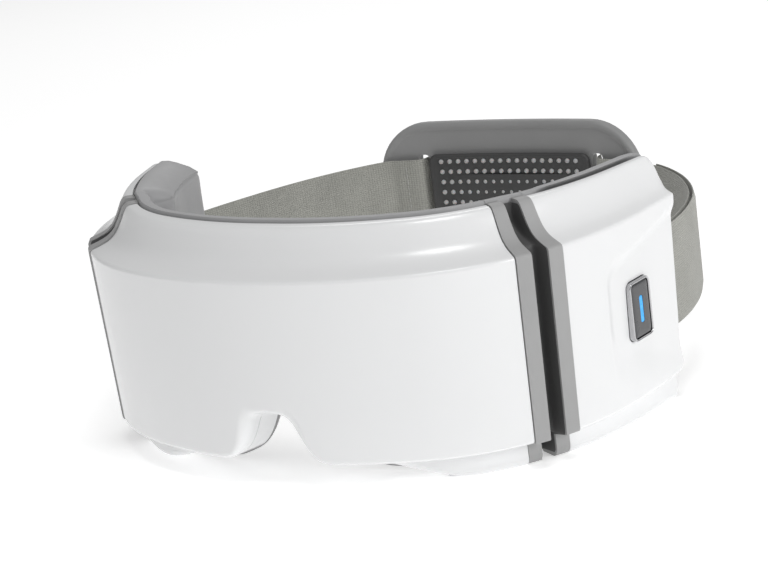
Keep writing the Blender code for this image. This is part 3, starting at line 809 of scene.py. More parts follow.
@dataclass
class CentreHousing(Maker):
    """The white front shell with its nose arch, the lip behind it, and the bridge wall."""

    arch_roll: float = 1.3
    side_roll: float = 4.6
    edge_roll: float = 1.8
    bridge_start: float = 9.0
    bridge_turns: float = 14.0
    bridge_turn_run: float = 8.0
    bridge_meets: float = 18.0
    nose_zone: float = 24.0
    near_edge: float = 12.0
    face_rows: int = 34
    under_rows: int = 8
    bridge_reach: float = 21.0
    bridge_rows: int = 6
    bridge_wall: float = 2.0
    lip_fall_start: float = 24.0
    lip_fall_run: float = 46.0
    socket: tuple[float, float, float] = (9.4, 3.6, 8.0)

    def low_edge(self, s: float, d: float = 0.0) -> float:
        """Returns the height of the lower edge, which follows the nose arch."""
        line = self.outline
        reach = max(0.0, d - 3.0) / line.depth(s)
        floor = line.face_bottom - 2.2 * reach
        return soft_max(line.nose_height(*line.plan(s, d)), floor, 1.6)

    def roll(self, s: float) -> float:
        """Returns the radius by which the face rolls into the lower edge."""
        side = ease(1 - abs(abs(s) - 9.5) / 8.0)
        out = ease((abs(s) - 13.0) / 8.0)
        plain = self.arch_roll + (self.edge_roll - self.arch_roll) * out
        return plain + (self.side_roll - plain) * side

    def shell_rings(self) -> list[Ring]:
        """Returns the rings of the front shell.

        Returns:
            One closed ring for each station, of equal length.
        """
        line = self.outline
        half = evenly(0.0, self.nose_zone, 0.8) + evenly(self.nose_zone, line.hinge_inner, 1.8)[1:]
        stations = [-s for s in half[::-1]] + half[1:]
        edge_line = [(s, self.low_edge(s)) for s in stations]
        rings = []
        for s in stations:
            low, roll = self.low_edge(s), self.roll(s)
            near = [point for point in edge_line if abs(point[0] - s) < self.near_edge]
            outside = self.profiles.bell_path(s)
            start = outside[-1][1] - 0.4
            for k in range(1, self.face_rows + 1):
                t = 1 - k / self.face_rows
                z = low + (start - low) * (0.35 * t + 0.65 * t * t)
                away = min(distance_to_run((s, z), a, b) for a, b in zip(near, near[1:]))
                lean = line.face_draft * z / line.face_bottom
                inset = max(0.0, roll - away)
                outside.append((lean + roll - math.sqrt(max(0.0, roll ** 2 - inset ** 2)), z))
            first = outside[-1][0]
            deep = line.depth(s) * self.profiles.shell_reach
            if abs(s) < self.bridge_meets:
                share = ease((abs(s) - self.bridge_turns) / self.bridge_turn_run)
                deep = self.bridge_start + (deep - self.bridge_start) * share
            for k in range(1, self.under_rows + 1):
                d = first + (deep - first) * k / self.under_rows
                outside.append((d, self.low_edge(s, d)))
            inside = self.profiles.shell_inside(s, self.low_edge(s, deep), deep)
            rings.append([line.place(s, d, z) for d, z in outside + inside])
        return rings

    def front(self) -> bpy.types.Object:
        """Makes the front shell."""
        shell = loft("front_housing", self.shell_rings())
        round_edges(shell, 0.3, 3, 55.0)
        shade(shell, 40.0)
        return self.done(shell, "centre", "shell_white", "front_shell")

    def bridge(self) -> bpy.types.Object:
        """Makes the wall round the nose arch, behind the front shell."""
        line = self.outline

        def section(s: float) -> list[Point2]:
            """Returns the wall's section at one place."""
            start = self.bridge_start + 0.15
            if abs(s) > self.bridge_turns:
                share = ease((abs(s) - self.bridge_turns) / 6.0)
                start = max(start, line.depth(s) * self.profiles.lip_front * share)
            end = line.depth(s) - 0.3
            lower = [(d, self.low_edge(s, d)) for d in evenly(start, end, (end - start) / self.bridge_rows)]
            return lower + [(d, z + self.bridge_wall) for d, z in reversed(lower)]

        wall = self.sweep("nose_arch_wall", evenly(-self.bridge_reach, self.bridge_reach, 0.8), section)
        round_edges(wall, 0.12, 2, 55.0)
        shade(wall)
        return self.done(wall, "centre", "shell_white", "nose_bridge")

    def back(self) -> bpy.types.Object:
        """Makes the inner wall and the two lips, with the charging socket's mouth."""
        line, profiles = self.outline, self.profiles
        edge = line.hinge_inner

        def wall_section(s: float) -> list[Point2]:
            """Returns the inner wall's section."""
            depth = line.depth(s)
            low = max(line.lip_bottom + 2.0, self.low_edge(s, depth) + 0.6)
            rows = 10
            heights = [low + (profiles.back_top - low) * k / rows for k in range(rows + 1)]
            return ([(depth, z) for z in reversed(heights)]
                    + [(depth - profiles.back_wall, z) for z in heights])

        parts = [self.sweep("back_wall", evenly(-edge, edge, 1.8), wall_section)]
        for side in Side:
            def lip_section(s: float) -> list[Point2]:
                """Returns the lip's section, which rises toward the nose arch."""
                low = soft_max(line.lip_bottom, line.nose_height(*line.plan(s, line.depth(s) * 0.7)), 1.5)
                fall = line.face_bottom - 0.6
                share = ease((abs(s) - self.lip_fall_start) / self.lip_fall_run)
                low = max(low, fall + (line.lip_bottom - fall) * share)
                return profiles.lip_ring(s, min(low, line.face_bottom - 0.2))

            lip = self.sweep(f"lip_{side.word}",
                             evenly(side.value * self.bridge_reach, side.value * edge, 1.5), lip_section)
            if side is Side.LEFT:
                cut(lip, socket_tool(line, self.socket))
            round_edges(lip, 0.2, 2, 60.0)
            parts.append(lip)
        back = join(parts, "back_housing")
        shade(back)
        return self.done(back, "centre", "shell_white", "rear_shell")

    def build(self) -> None:
        """Makes the whole centre housing."""
        self.front()
        self.bridge()
        self.back()


def socket_tool(line: Outline, size: tuple[float, float, float]) -> bpy.types.Object:
    """Makes the block that opens the lip for the charging socket."""
    bpy.ops.object.select_all(action="DESELECT")
    bpy.ops.mesh.primitive_cube_add(size=MM)
    tool = bpy.context.active_object
    tool.data.transform(line.local(64.0, 14.3, line.lip_bottom) @ Matrix.Diagonal((*size, 1.0)))
    round_edges(tool, 1.2, 4, 30.0)
    return tool


def distance_to_run(point: Point2, start: Point2, end: Point2) -> float:
    """Returns how far a point is from a straight run."""
    run_x, run_y = end[0] - start[0], end[1] - start[1]
    t = ((point[0] - start[0]) * run_x + (point[1] - start[1]) * run_y) / (run_x ** 2 + run_y ** 2)
    t = max(0.0, min(1.0, t))
    return math.hypot(point[0] - start[0] - run_x * t, point[1] - start[1] - run_y * t)


@dataclass
class FaceLiner(Maker):
    """The soft liners: one over the eyes, and one on each temple."""

    centre_bulge: float = 5.8
    wing_bulge: float = 9.0
    eye: tuple[float, float] = (34.0, -26.0)
    eye_size: tuple[float, float] = (21.0, 15.0)
    eye_dip: float = 2.6
    seam_inset: float = 5.2
    seam_mm: float = 0.45
    roll: float = 1.9
    hollow_share: float = 0.6
    hollow_end: float = 9.0
    rim_height: float = 5.0
    rim_fade: float = 22.0
    temple_start: float = 108.0
    temple_run: float = 24.0
    span_gap: float = 0.15
    fill: float = 0.7
    rows: tuple[float, ...] = (0.0, 0.01, 0.03, 0.055, 0.066, 0.072, 0.078, 0.09, 0.11, 0.15, 0.2, 0.26,
                               0.33, 0.4, 0.47, 0.54, 0.61, 0.68, 0.75, 0.8, 0.85, 0.89, 0.91, 0.92,
                               0.928, 0.935, 0.95, 0.97, 0.99, 1.0)

    def swell(self, s: float, z: float, low: float, start: float, end: float, height: float) -> float:
        """Returns how far a liner stands proud of its edge at one place."""
        top = self.profiles.liner_top
        temple = start > 0
        from_top = (top - z + 1.5) / 5.5 if temple else (top - z - 5.0) / 14.0
        from_end = (end - abs(s)) / (7.0 if temple else 11.0)
        edges = (from_top, (z - low - 2.0) / 14.0, (abs(s) - start) / 11.0, from_end)
        full = height * math.prod(ease(share) for share in edges)
        inset = min(top - z, z - low, abs(s) - start + 3.0, end + 3.0 - abs(s))
        groove = self.seam_mm * math.exp(-((inset - self.seam_inset) / 0.55) ** 2)
        return full - groove

    def rim(self, s: float, below: float) -> float:
        """Returns the share of the rim's extra thickness this far below the top."""
        temple = ease((abs(s) - self.temple_start) / self.temple_run)
        return max(1 - ease((below - self.rim_height) / self.rim_fade), temple)

    def dip(self, s: float, z: float) -> float:
        """Returns the shallow hollow over each eye."""
        reach = math.hypot((abs(s) - self.eye[0]) / self.eye_size[0], (z - self.eye[1]) / self.eye_size[1])
        return self.eye_dip * ease(1.35 - reach)

    def liner(self, name: str, stations: Sequence[float], start: float, end: float, height: float,
              low_at: Callable[[float], float], eyes: bool = False) -> bpy.types.Object:
        """Makes one liner.

        Args:
            name: the piece's name.
            stations: places along the outline.
            start: where its swelling starts, along the outline.
            end: where it ends.
            height: how far it swells.
            low_at: gives its lower edge's height at a place.
            eyes: whether it is hollowed over the eyes.

        Returns:
            The object.
        """
        line, profiles = self.outline, self.profiles
        top, wall = profiles.liner_top + profiles.rim_rise, profiles.liner_wall
        extra = profiles.rim_wall - wall

        def section(s: float) -> list[Point2]:
            """Returns the liner's section."""
            low = low_at(s)
            base = line.depth(s) + profiles.liner_gap
            inner, outer = [], []
            for share in self.rows:
                z = top + (low - top) * share
                full = self.swell(s, z, low, start, end, height)
                if eyes:
                    full -= self.dip(s, z)
                near = min(self.roll, top - z, z - low)
                edge = self.roll - math.sqrt(max(0.0, self.roll ** 2 - (self.roll - near) ** 2))
                hollow = max(0.0, full * self.hollow_share) * ease((line.wing_end - abs(s)) / self.hollow_end)
                inner.append((base + hollow + edge * 0.35, z))
                outer.append((base + wall + extra * self.rim(s, top - z) + full - edge, z))
            return inner + outer[::-1]

        piece = self.sweep(name, stations, section)
        round_edges(piece, 0.5, 3, 60.0)
        shade(piece, 50.0)
        return piece

    def build(self) -> None:
        """Makes the liners, and the spans that carry their rim over the folds."""
        line, profiles = self.outline, self.profiles
        edge = line.hinge_inner

        def centre_low(s: float) -> float:
            """Returns the centre liner's lower edge, which follows the nose arch."""
            place = line.plan(s, line.depth(s) + profiles.liner_gap + profiles.liner_wall)
            return soft_max(profiles.liner_bottom, line.nose_height(*place) + 0.1, 2.0)

        cushion = self.liner("face_cushion", evenly(-edge, edge, 1.3), -edge - 30.0, edge - 3.0,
                             self.centre_bulge, centre_low, eyes=True)
        self.done(cushion, "centre", "liner_grey", "face_liner")
        for side in Side:
            pad = self.liner(f"temple_cushion_{side.word}",
                             evenly(side.value * line.hinge_outer, side.value * line.wing_end, 1.2),
                             line.hinge_outer + 3.0, line.wing_end + 4.0, self.wing_bulge,
                             lambda s: profiles.liner_bottom)
            self.done(pad, side.wing, "liner_grey", f"temple_liner_{side.word}")
            start, end = edge + self.span_gap, line.hinge_outer - self.span_gap
            span = self.liner(f"liner_span_{side.word}", evenly(side.value * start, side.value * end, 1.0),
                              -edge, 2 * line.wing_end, 0.0, lambda s: profiles.liner_bottom)
            self.book.dress(span, "liner_grey")
            depth, middle = line.depth(edge) + profiles.rim_wall, line.face_bottom / 2 + 1.0
            line.place(side.value * start, depth, middle)
            line.place(side.value * end, depth, middle)
            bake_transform(span)


@dataclass
class Folds(Maker):
    """The two folds: raised rubber flanges and the dark web between them, dark partly by its own rubber and
    partly by painted shade of the groove.
    """

    flange_width: float = 5.4
    clearance: float = 0.2
    web_inset: float = 0.9
    web_depth: float = 6.5
    web_gap: float = 0.02
    web_squareness: int = 6
    back_gap: float = 0.3

    def flange_section(self, s: float) -> list[Point2]:
        """Returns a flange's full section, just proud of the shells."""
        line, profiles = self.outline, self.profiles
        depth, rise = line.depth(s), profiles.flange_rise
        bell = [(d - rise * (1 - d / depth * 0.5), z + rise * 0.8) for d, z in profiles.bell_path(s, 2)]
        lean, low = line.face_draft - rise, line.face_bottom
        face = [(-rise, -2.4), (line.face_draft / 2 - rise, low / 2), (lean, low + 0.9),
                (lean + 0.35, low + 0.25), (lean + 1.2, low)]
        start, foot = depth * profiles.lip_front, line.lip_bottom
        lip = [(start, low - 1.2), (start, foot + 2.5), (start + 0.9, foot + 0.6), (start + 2.4, foot),
               (depth - 1.2, foot), (depth, foot + 1.2)]
        inner = depth + self.back_gap
        back = [(inner, profiles.liner_bottom), (inner, line.top), (inner - 0.6, line.top + 0.7)]
        return bell + face + lip + back

    def web_rings(self, side: Side) -> list[Ring]:
        """Returns the rings of the rubber web, hollow along its middle."""
        line = self.outline
        beside = self.flange_width + self.clearance + self.web_gap
        start, end = line.hinge_inner + beside, line.hinge_outer - beside
        rings = []
        for s in evenly(start, end, 0.4):
            depth = line.depth(s)
            sunk = 1 - abs(2 * (s - start) / (end - start) - 1) ** self.web_squareness
            front = []
            for d, z in self.flange_section(s)[:-3]:
                inward = min(depth - 0.6, d + self.web_inset + self.web_depth * sunk)
                front.append((inward, max(line.lip_bottom + 1.5, min(line.top - 1.0, z))))
            ring = front + [(depth + self.back_gap, z) for _, z in reversed(front)]
            rings.append([line.place(side.value * s, d, z) for d, z in ring])
        return rings

    def build(self) -> None:
        """Makes both folds."""
        line = self.outline
        inner, outer = line.hinge_inner + self.clearance, line.hinge_outer - self.clearance
        wide = self.flange_width
        for side in Side:
            spans = (("centre", inner, inner + wide), (side.wing, outer - wide, outer))
            for body, start, end in spans:
                word = "centre" if body == "centre" else "wing"
                flange = self.sweep(f"{word}_rim_{side.word}",
                                    evenly(side.value * start, side.value * end, 1.4), self.flange_section)
                round_edges(flange, 0.45, 3, 50.0)
                shade(flange, 34.0)
                self.done(flange, body, "flange_grey", f"{word}_flange_{side.word}")
            web = loft(f"fold_web_{side.word}", self.web_rings(side))
            shade(web, 50.0)
            # the web's dark finish is partly its rubber's colour and partly painted shade of the groove
            self.book.dress(web, "bellows_dark")
            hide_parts(f"fold_bellows_{side.word}")
            depth, middle = line.depth(line.hinge_inner) * 0.6, line.face_bottom / 2 + 1.0
            line.place(side.value * (inner + wide), depth, middle)
            line.place(side.value * (outer - wide), depth, middle)
            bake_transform(web)
            LOG.info("%s bends between centre and %s", web.name, side.wing)


@dataclass
class Wings(Maker):
    """The two temple wings: outer shell with its sunk panel, inner shell and lip."""

    panel_depth: float = 1.5
    panel_band: float = 3.9
    panel_corner: float = 6.0
    panel_top: tuple[float, float, float] = (131.3, -10.4, 0.21)
    panel_front: float = 123.2
    panel_foot: tuple[float, float, float] = (124.0, -50.0, -0.25)
    panel_foot_fade: float = 0.4
    edge_roll: float = 1.8
    end_wall: tuple[float, float] = (-1.5, -56.0)
    end_slot: tuple[float, float] = (9.0, 4.4)
    button: Point2 = (141.5, -31.4)
    window: Point2 = (12.7, 20.7)
    strap_band: Point2 = (-11.5, -46.5)

    def panel(self, s: float, z: float) -> float:
        """Returns how deep the side panel is sunk at one place."""
        start, height, slope = self.panel_top
        top = (height + (abs(s) - start) * slope - z) / math.hypot(1.0, slope)
        front = abs(s) - self.panel_front
        start, height, slope = self.panel_foot
        foot = (z - height - (abs(s) - start) * slope) * self.panel_foot_fade + 1.0
        inset = soft_min(soft_min(top, front, self.panel_corner), foot, self.panel_corner)
        share = max(0.0, min(1.0, inset / self.panel_band))
        return self.panel_depth * (0.75 * share + 0.25 * ease(share))

    def shell(self, side: Side) -> bpy.types.Object:
        """Makes one outer shell."""
        line, profiles, roll = self.outline, self.profiles, self.edge_roll
        low = line.face_bottom

        def section(s: float) -> list[Point2]:
            """Returns the shell's section."""
            outside = profiles.bell_path(s)
            for z in evenly(outside[-1][1] - 0.4, low + roll, 1.3):
                outside.append((line.face_draft * z / low + self.panel(s, z), z))
            lean = outside[-1][0]
            for k in range(1, 6):
                angle = math.pi / 2 * k / 5
                outside.append((lean + roll * (1 - math.cos(angle)), low + roll * (1 - math.sin(angle))))
            reach = line.depth(s) * profiles.shell_reach
            outside.append((max(reach, lean + 2.3), low - 0.5))
            return outside + profiles.shell_inside(s, low - 0.5, max(reach, lean + 2.3))

        shell = self.sweep(f"wing_housing_{side.word}",
                           evenly(side.value * line.hinge_outer, side.value * line.skin_end, 1.0), section)
        if side is Side.LEFT:
            through = ((-3.0, 0.0), (6.0, 0.0))
            cut(shell, self.rounded_prism("window_tool", self.window, 2.6, through, self.button))
        round_edges(shell, 0.35, 3, 55.0)
        shade(shell, 40.0)
        return self.done(shell, side.wing, "shell_white", f"wing_shell_{side.word}")

    def back(self, side: Side) -> bpy.types.Object:
        """Makes one inner shell: wall, lip and the slotted end wall."""
        line, profiles = self.outline, self.profiles

        def wall_section(s: float) -> list[Point2]:
            """Returns the inner wall's section."""
            depth = line.depth(s)
            heights = evenly(line.lip_bottom + 2.0, profiles.back_top, 7.0)
            return ([(depth, z) for z in reversed(heights)]
                    + [(depth - profiles.back_wall, z) for z in heights])

        stations = evenly(side.value * line.hinge_outer, side.value * line.wing_end, 1.4)
        wall = self.sweep("wing_wall", stations, wall_section)
        lip = self.sweep("wing_lip", stations, lambda s: profiles.lip_ring(s, line.lip_bottom))
        round_edges(lip, 0.5, 3, 60.0)

        def end_section(s: float) -> list[Point2]:
            """Returns the end wall's section."""
            inner, front = line.depth(s) - 0.9, profiles.wall + line.face_draft + 0.3
            top, foot = self.end_wall
            return [(front, top), (front, foot), (inner, foot), (inner, top)]

        end = self.sweep("wing_end", [side.value * (line.wing_end - 3.0), side.value * (line.wing_end - 0.8)],
                         end_section)
        high, low = self.strap_band
        bpy.ops.object.select_all(action="DESELECT")
        bpy.ops.mesh.primitive_cube_add(size=MM)
        slot = bpy.context.active_object
        slot.data.transform(line.local(side.value * (line.wing_end - 2.0), 4.9, (high + low) / 2)
                            @ Matrix.Diagonal((*self.end_slot, high - low + 2.4, 1.0)))
        round_edges(slot, 1.0, 3, 30.0)
        cut(end, slot)
        back = join([wall, lip, end], f"wing_inner_{side.word}")
        shade(back)
        return self.done(back, side.wing, "shell_white", f"wing_back_{side.word}")

    def build(self) -> None:
        """Makes both wings."""
        for side in Side:
            self.shell(side)
            self.back(side)


@dataclass
class PowerKey(Maker):
    """The chrome bezel, the sprung button and its light bar."""

    at: Point2 = (141.5, -31.4)
    bezel: Point2 = (12.2, 20.2)
    key: Point2 = (10.3, 18.3)
    light: Point2 = (2.1, 9.2)

    def build(self) -> None:
        """Makes the three pieces."""
        through = ((-3.0, 0.0), (6.0, 0.0))
        rim = ((0.85, 0.5), (0.66, 0.34), (0.78, 0.12), (1.1, 0.0), (3.6, 0.0))
        ring = self.rounded_prism("key_bezel", self.bezel, 2.3, rim, self.at)
        bore = (self.key[0] + 0.35, self.key[1] + 0.35)
        hollow = self.rounded_prism("bezel_hollow", bore, 1.5, through, self.at)
        cut(ring, hollow)
        round_edges(ring, 0.15, 3, 50.0)
        shade(ring, 35.0)
        self.done(ring, Side.LEFT.wing, "chrome", "button_bezel")
        dome = ((0.84, 2.2), (0.87, 1.2), (0.96, 0.5), (1.15, 0.15), (1.4, 0.0), (3.4, 0.0))
        cap = self.rounded_prism("power_key", self.key, 1.3, dome, self.at)
        cut(cap, self.rounded_prism("light_hollow", self.light, 0.74, ((-3.0, 0.0), (1.45, 0.0)), self.at))
        shade(cap, 35.0)
        self.done(cap, "power_button", "button_dark", "power_button")
        bar = self.rounded_prism("light_guide", (self.light[0] - 0.1, self.light[1] - 0.1), 0.68,
                                 ((0.86, 0.25), (0.92, 0.08), (1.02, 0.0), (1.4, 0.0)), self.at)
        shade(bar, 50.0)
        self.done(bar, "power_button", "light_blue", "light_bar")


@dataclass
class HeadStrap(Maker):
    """The elastic strap: two sides, the folded-back tail, and the run behind the pad."""

    thickness: float = 1.3
    top: float = -11.5
    bottom: float = -46.5
    at_pad: tuple[Point2, ...] = ((53.0, 190.4), (46.0, 192.3), (41.4, 192.9), (38.4, 194.0), (37.1, 196.8),
                                  (36.9, 199.9))
    left: tuple[Point2, ...] = ((97.5, 96.5), (98.3, 102.5), (98.6, 113.0), (97.9, 124.0), (95.6, 137.0),
                                (91.6, 149.5), (85.0, 162.0), (76.8, 173.0), (66.0, 183.2))
    right: tuple[Point2, ...] = ((98.5, 96.5), (99.2, 102.5), (94.8, 118.0), (87.0, 138.0), (77.5, 158.0),
                                 (66.0, 176.0))
    tail_points: int = 66
    tail_gap: float = 0.3
    squashed: float = 0.085
    stitch_pitch: float = 2.6
    stitches_back: int = 30
    fold_x: float = 36.5

    def band(self, name: str, path: Sequence[Vector]) -> bpy.types.Object:
        """Makes a band with rolled selvedges that stands on edge along a plan path."""
        half, wide = self.thickness / 2, (self.top - self.bottom) / 2
        middle = (self.top + self.bottom) / 2
        face = [-1 + 2 * k / 14 for k in range(15)]
        edge = 0.035
        profile = []
        for v in face:
            into_edge = max(0.0, (abs(v) - 1 + edge) / edge)
            profile.append((half * math.sqrt(max(0.05, 1 - into_edge ** 2)), v))
        rings = []
        for i, point in enumerate(path):
            along = (path[min(i + 1, len(path) - 1)] - path[max(i - 1, 0)]).normalized()
            normal = Vector((-along.y, along.x))
            wave = 0.0048 * math.sin(i * 1.7)
            ring = [(point + normal * thick, v) for thick, v in profile]
            ring += [(point - normal * thick, v) for thick, v in reversed(profile)]
            reach = wide + wave
            rings.append([self.outline.in_plan(*place, middle + v * reach) for place, v in ring])
        piece = loft(name, rings)
        shade(piece, 60.0)
        return piece

    def stitches(self, name: str, path: Sequence[Vector], index: int, outside: float) -> bpy.types.Object:
        """Makes a row of stitches across the band at one of its points."""
        point = path[index]
        along = (path[index + 1] - path[index - 1]).normalized()
        normal = Vector((-along.y, along.x)) * outside
        made = []
        for z in evenly(self.bottom + 2.5, self.top - 2.5, self.stitch_pitch)[:-1]:
            bpy.ops.object.select_all(action="DESELECT")
            bpy.ops.mesh.primitive_uv_sphere_add(segments=8, ring_count=6, radius=0.5 * MM)
            stitch = bpy.context.active_object
            spot = point + normal * (self.thickness / 2 + 0.02)
            place = self.outline.in_plan(*spot, z + self.stitch_pitch / 2)
            stitch.data.transform(Matrix.Translation(place) @ Matrix.Diagonal((0.5, 0.5, 1.9, 1.0)))
            made.append(stitch)
        row = join(made, name)
        shade(row, 60.0)
        return row

    def side_path(self, side: Side) -> list[Vector]:
        """Returns one side's path in plan, smooth from the wing to the pad."""
        points = (self.left if side is Side.LEFT else self.right) + self.at_pad
        return [Vector((side.value * x, y)) for x, y in smooth_curve(points, 8)]

    def build(self) -> None:
        """Makes the strap's two sides and its folded-back tail, and their stitches."""
        for side in Side:
            path = self.side_path(side)
            body = self.band(f"strap_band_{side.word}", path)
            self.done(body, "strap", "strap_fabric", f"strap_{side.word}")
            row = self.stitches(f"pad_stitches_{side.word}", path, len(path) - self.stitches_back, side.value)
            self.done(row, "strap", "thread_grey")
            for piece in (body, row):
                self.fold_flat(piece, side)
        path = self.side_path(Side.LEFT)
        folded = []
        for i, point in enumerate(path[:self.tail_points]):
            along = (path[i + 1] - path[max(i - 1, 0)]).normalized()
            gap = self.thickness + self.tail_gap
            folded.append(point - Vector((-along.y, along.x)) * gap)
        tail = self.band("strap_band_tail", folded)
        self.done(tail, "strap", "strap_fabric", "strap_tail")
        row = self.stitches("tail_stitches", folded, len(folded) - 4, -1.0)
        self.done(row, "strap", "thread_grey")
        for piece in (tail, row):
            self.fold_flat(piece, Side.LEFT)

    def fold_flat(self, piece: bpy.types.Object, side: Side) -> None:
        """Gives a side of the strap a mesh of its own."""
        self.outline.in_plan(side.value * self.fold_x, 196.0, -29.0)
        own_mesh(piece)


@dataclass
class RearPad(Maker):
    """The head pad with its two strap slots, the nubbed panel, and the strap behind it."""

    half_width: float = 56.0
    half_height: float = 32.0
    corner: float = 21.0
    front: float = 197.0
    thickness: float = 4.5
    radius: float = 350.0
    middle: float = -29.0
    slot_x: float = 37.3
    slot_size: Point2 = (4.6, 38.0)
    panel: Point2 = (34.4, 19.3)
    nub_pitch: Point2 = (3.62, 4.15)
    nub_radius: float = 0.95

    def bent(self, x: float, y: float, z: float) -> Vector:
        """Returns a point of the pad, which curves round the head."""
        return self.outline.in_plan(x, y - x * x / (2 * self.radius), z)

    def plate(self, name: str, half: Point2, corner: float, levels: Sequence[Point2]) -> bpy.types.Object:
        """Makes a curved plate with a rounded outline from (y, inset) levels."""
        rings = []
        for y, inset in levels:
            wide, high = half[0] - inset, half[1] - inset
            radius = max(0.4, corner - inset)
            ring = []
            for quarter, (sx, sz) in enumerate(((1, 1), (-1, 1), (-1, -1), (1, -1))):
                for k in range(13):
                    angle = math.pi / 2 * (quarter + k / 12)
                    ring.append((sx * (wide - radius) + radius * math.cos(angle),
                                 sz * (high - radius) + radius * math.sin(angle)))
                nxt = ((-1, 1), (-1, -1), (1, -1), (1, 1))[quarter]
                turn = math.pi / 2 * (quarter + 1)
                end = (nxt[0] * (wide - radius) + radius * math.cos(turn),
                       nxt[1] * (high - radius) + radius * math.sin(turn))
                last = ring[-1]
                ring += [(last[0] + (end[0] - last[0]) * k / 12, last[1] + (end[1] - last[1]) * k / 12)
                         for k in range(1, 12)]
            rings.append([self.bent(x, y, self.middle + z) for x, z in ring])
        return loft(name, rings)

    def build(self) -> None:
        """Makes the pad's pieces."""
        back = self.front + self.thickness
        front_levels = ((0.6, 24.0), (0.6, 12.0), (0.5, 4.6), (0.55, 3.6), (0.3, 3.1), (-0.1, 2.5),
                        (-0.25, 1.8), (-0.1, 1.1), (0.4, 0.5), (1.1, 0.12), (1.8, 0.0))
        back_levels = ((-1.8, 0.0), (-1.0, 0.15), (-0.4, 0.55), (-0.1, 1.1), (0.0, 2.0), (0.0, 12.0),
                       (0.0, 24.0))
        face = [(self.front + y, inset) for y, inset in front_levels]
        rear = [(back + y, inset) for y, inset in back_levels]
        pad = self.plate("head_pad", (self.half_width, self.half_height), self.corner, face + rear)
        for side in Side:
            pad_slot = self.slot_tool(side)
            cut(pad, pad_slot)
        round_edges(pad, 0.3, 3, 55.0)
        shade(pad, 38.0)
        self.done(pad, "rear_pad", "pad_grey", "rear_pad")
        skin = self.front - 0.35
        panel_levels = ((-1.5, 8.0), (-1.5, 2.0), (-1.8, 1.2), (-1.75, 0.6), (-1.4, 0.15), (-1.0, 0.0),
                        (0.0, 0.0), (0.0, 8.0))
        panel = self.plate("nub_plate", self.panel, 3.0, [(skin + y, inset) for y, inset in panel_levels])
        shade(panel, 38.0)
        self.done(panel, "rear_pad", "nub_dark", "nub_panel")
        self.done(self.nubs(skin - 1.5), "rear_pad", "nub_light")
        self.strap_run(back)

    def slot_tool(self, side: Side) -> bpy.types.Object:
        """Makes the rounded tool that cuts one strap slot."""
        bpy.ops.object.select_all(action="DESELECT")
        bpy.ops.mesh.primitive_cube_add(size=MM)
        tool = bpy.context.active_object
        centre = self.outline.in_plan(side.value * self.slot_x, self.front, self.middle)
        tool.data.transform(Matrix.Translation(centre) @ Matrix.Diagonal((self.slot_size[0], 24.0,
                                                                          self.slot_size[1], 1.0)))
        round_edges(tool, 1.6, 4, 30.0)
        return tool

    def nubs(self, base: float) -> bpy.types.Object:
        """Makes the rows of nubs: one dome, repeated and bent to the panel."""
        pitch_x, pitch_z = self.nub_pitch
        columns = int((self.panel[0] - 2.0) / pitch_x) * 2 + 1
        rows = int((self.panel[1] - 1.6) / pitch_z) * 2 + 1
        bpy.ops.object.select_all(action="DESELECT")
        bpy.ops.mesh.primitive_uv_sphere_add(segments=12, ring_count=8, radius=self.nub_radius * MM)
        dome = bpy.context.active_object
        dome.name = dome.data.name = "massage_nubs"
        first = Vector((-(columns - 1) / 2 * pitch_x, 0.0, -(rows - 1) / 2 * pitch_z)) * MM
        dome.data.transform(Matrix.Translation(first) @ Matrix.Diagonal((1.0, 1.25, 1.0, 1.0)))
        for count, step in ((columns, (pitch_x * MM, 0.0, 0.0)), (rows, (0.0, 0.0, pitch_z * MM))):
            apply_modifier(dome, "ARRAY", count=count, use_relative_offset=False, use_constant_offset=True,
                           constant_offset_displace=step)
        for vertex in dome.data.vertices:
            x, y, z = vertex.co / MM
            vertex.co = self.bent(x, base + y, self.middle + z)
        shade(dome, 60.0)
        return dome

    def strap_run(self, back: float) -> None:
        """Makes the strap's run behind the pad."""
        strap = HeadStrap(self.outline, self.profiles, self.book)
        behind = back + 0.35 + strap.thickness / 2
        path = [Vector((x, behind - x * x / (2 * self.radius))) for x in evenly(-34.8, 34.8, 2.0)]
        band = strap.band("strap_band_middle", path)
        self.done(band, "rear_pad", "strap_fabric", "strap_middle")


# --- setting --------------------------------------------------------------------------------


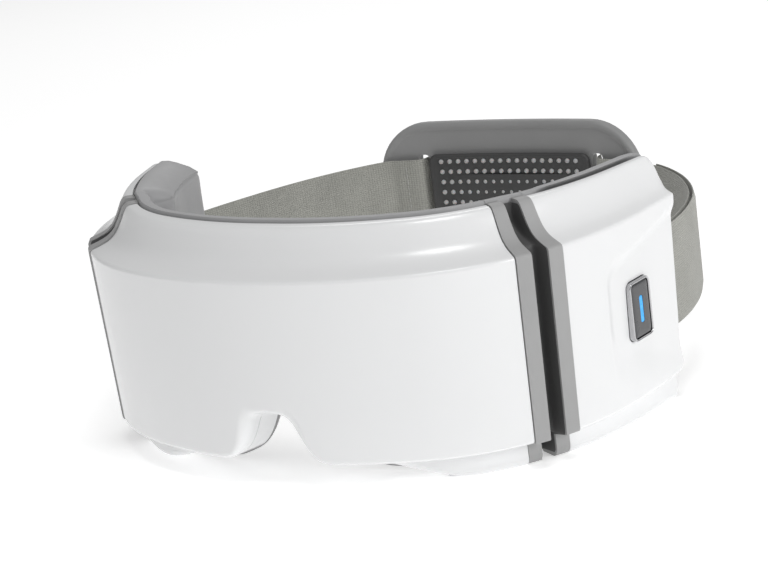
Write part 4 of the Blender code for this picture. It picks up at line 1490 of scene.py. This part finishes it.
@dataclass(frozen=True)
class Studio:
    """A pale floor, soft studio light and the camera."""

    eye: tuple[float, float, float] = (0.378716, -0.661014, 0.260102)
    azimuth: float = 30.373
    elevation: float = 16.217
    roll: float = 7.892
    lens: float = 104.31
    sky: float = 0.33
    lamps: tuple[tuple[str, tuple[float, float, float], float, float], ...] = (
        ("overhead", (0.25, -0.3, 1.3), 0.5, 5.0),
        ("key_right", (1.25, -0.35, 0.6), 0.4, 5.2),
        ("rim_back", (-0.5, 1.0, 0.9), 0.5, 1.8),
    )

    def camera(self) -> None:
        """Adds the camera and makes it the scene's."""
        azimuth, elevation = math.radians(self.azimuth), math.radians(self.elevation)
        back = Vector((math.sin(azimuth) * math.cos(elevation), -math.cos(azimuth) * math.cos(elevation),
                       math.sin(elevation)))
        right = Vector((math.cos(azimuth), math.sin(azimuth), 0.0))
        basis = Matrix((right, back.cross(right), back)).transposed()
        data = bpy.data.cameras.new("camera")
        data.sensor_width = 36.0
        data.lens = self.lens
        data.clip_start = 0.01
        camera = bpy.data.objects.new("camera", data)
        turn = basis @ Matrix.Rotation(math.radians(-self.roll), 3, "Z")
        camera.matrix_world = Matrix.Translation(self.eye) @ turn.to_4x4()
        bpy.context.scene.collection.objects.link(camera)
        bpy.context.scene.camera = camera

    def light(self) -> None:
        """Adds the sky and the soft lamps."""
        world = bpy.data.worlds.new("studio")
        world.use_nodes = True
        sky = world.node_tree.nodes["Background"]
        sky.inputs["Color"].default_value = (1.0, 1.0, 1.0, 1.0)
        sky.inputs["Strength"].default_value = self.sky
        bpy.context.scene.world = world
        for name, place, size, power in self.lamps:
            data = bpy.data.lights.new(name, "AREA")
            data.shape = "DISK"
            data.size = size
            data.energy = power
            lamp = bpy.data.objects.new(name, data)
            lamp.location = place
            aim = Vector((0.0, 0.0, 0.04)) - Vector(place)
            lamp.rotation_euler = aim.to_track_quat("-Z", "Y").to_euler()
            bpy.context.scene.collection.objects.link(lamp)

    def floor(self, height: float) -> None:
        """Adds the pale floor."""
        bpy.ops.object.select_all(action="DESELECT")
        bpy.ops.mesh.primitive_plane_add(size=30.0, location=(0.0, 0.0, height))
        floor = bpy.context.active_object
        floor.name = "studio_floor"
        nodes = Nodes("studio_floor")
        nodes.shader.inputs["Base Color"].default_value = (0.95, 0.95, 0.95, 1.0)
        nodes.shader.inputs["Roughness"].default_value = 0.9
        nodes.shader.inputs["Specular IOR Level"].default_value = 0.1
        nodes.shader.inputs["Emission Color"].default_value = (1.0, 1.0, 1.0, 1.0)
        nodes.shader.inputs["Emission Strength"].default_value = 0.42
        floor.data.materials.append(nodes.material)
        floor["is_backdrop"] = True


def main() -> None:
    """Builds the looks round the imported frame."""
    logging.basicConfig(level=logging.INFO, format="%(message)s")
    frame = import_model()
    book = FinishBook()
    book.dress_frame(frame)
    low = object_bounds()[0]
    outline = Outline(front_y=low[1], crease_z=low[2] - Outline.lip_bottom * MM)
    profiles = Profiles(outline)
    shared = (outline, profiles, book)
    for group in (CentreHousing, FaceLiner, Folds, Wings, PowerKey, HeadStrap, RearPad):
        group(*shared).build()
    studio = Studio()
    studio.floor(low[2])
    studio.light()
    studio.camera()
    bpy.context.scene.view_settings.view_transform = "Standard"


if __name__ == "__main__":
    main()
